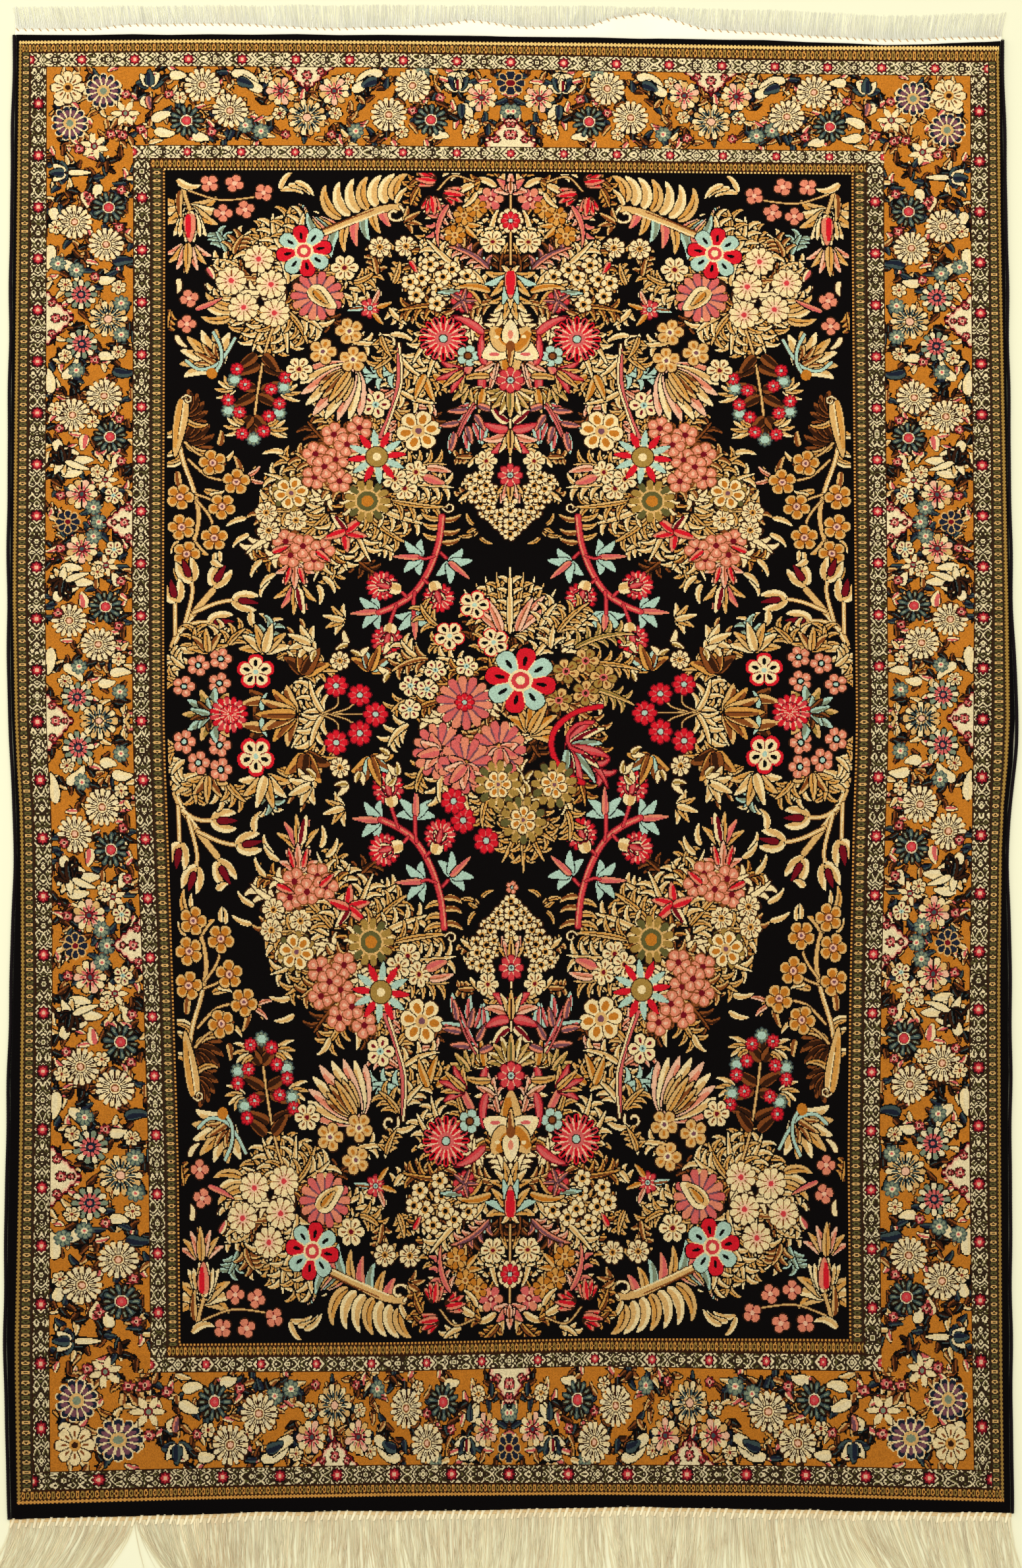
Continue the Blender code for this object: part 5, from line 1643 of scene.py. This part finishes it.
fringe_pieces = []
for up, table, a_lock, spread, seed in ((1, TOP_STRANDS, 9, 1.4, 3), (0, BOTTOM_STRANDS, 10, 7.0, 5)):
    chance = np.random.default_rng(seed)
    away = 1 if up else -1
    left = (SIDE_LEFT[-1] if up else SIDE_LEFT[0]) + SHIFT[0] + INSET
    right = (SIDE_RIGHT[-1] if up else SIDE_RIGHT[0]) + SHIFT[0] - INSET
    pitch = (right - left) / LOCKS
    warps = pale_warps if up else cotton_warps

    def looked_up(rows, x, column=1):
        """A table's value at x, where it gives shares of the way from left to right."""
        return float(np.interp((x - left) / (right - left), [row[0] for row in rows], [row[column] for row in rows]))

    def reach(x):
        """How far the woven web reaches at x, in mm: the hem at the short fringe wavers, the other web is even."""
        return looked_up(HEM, x) if up else 6.0

    strands, ties = [], []
    drift = np.interp(range(LOCKS), range(0, LOCKS + 6, 6), chance.normal(0, 0.8 if up else 8.0, LOCKS // 6 + 1))
    for k in range(LOCKS):      # each warp leans and reaches as the tables say, and a little in its own way
        middle = left + (k + 0.5) * pitch
        pale = chance.uniform(0, 0.5)
        for n in range(a_lock):
            x = middle + ((n + 0.5) / a_lock - 0.5) * pitch * (0.98 if up else 0.8)
            stray = chance.uniform(-22, 22) if chance.random() < (0.02 if up else 0.07) else 0
            long = looked_up(table, x, 2) - reach(x) + chance.uniform(-2, 1)
            lean = looked_up(table, x) + drift[k] + stray + chance.normal(0, spread)
            layer = chance.uniform(0.5, 2.0 if up else 3.6)
            own = (pale + chance.uniform(0, 0.5)) ** (0.4 if up else 1)
            strands.append((x, end_at(up, x) + away * (reach(x) - 0.5) * MM, 1.6 * MM,
                            long * MM, lean * MM, layer * MM, own))
        if up:      # a stitch across the hem's edge, tan as painted shade for the shadows of the knot row
            ties.append((middle, end_at(up, middle) + (reach(middle) - 2.6) * MM, 3.2 * MM, 4.2 * MM, -3.4 * MM,
                         2.8 * MM, chance.uniform(0.3, 1)))
        else:       # a fat hitch that slants down to the left and leans on the pile's edge
            x = middle + chance.uniform(-0.8, 0.8) * MM
            ties.append((x, end_at(up, x) + chance.uniform(-0.5, 1.6) * MM, chance.uniform(5.4, 6.4) * MM,
                         chance.uniform(12, 14.5) * MM, chance.uniform(-6.0, -3.6) * MM, 2.6 * MM,
                         chance.uniform(0.6, 1)))
    shown = laid_strands("fringe_short" if up else "fringe_long", up, strands, warps, Steps=5 if up else 8, Sides=3,
                         Thickness=0.6 * MM, Bow=1.4, Waver=(0.5 if up else 3.4) * MM, Seed=float(seed))
    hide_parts("fringe_top" if up else "fringe_bottom")
    tied = laid_strands("hem_stitches" if up else "hitches", up, ties, hem_thread_painted_shade if up else warps,
                        Steps=3 if up else 5, Sides=4 if up else 7, Thickness=(0.9 if up else 2.9) * MM, Bow=1.0,
                        Waver=0.2 * MM, Seed=float(seed))
    fringe_pieces += [shown, tied, web_piece("web_short" if up else "web_long", up, left, right, reach)]
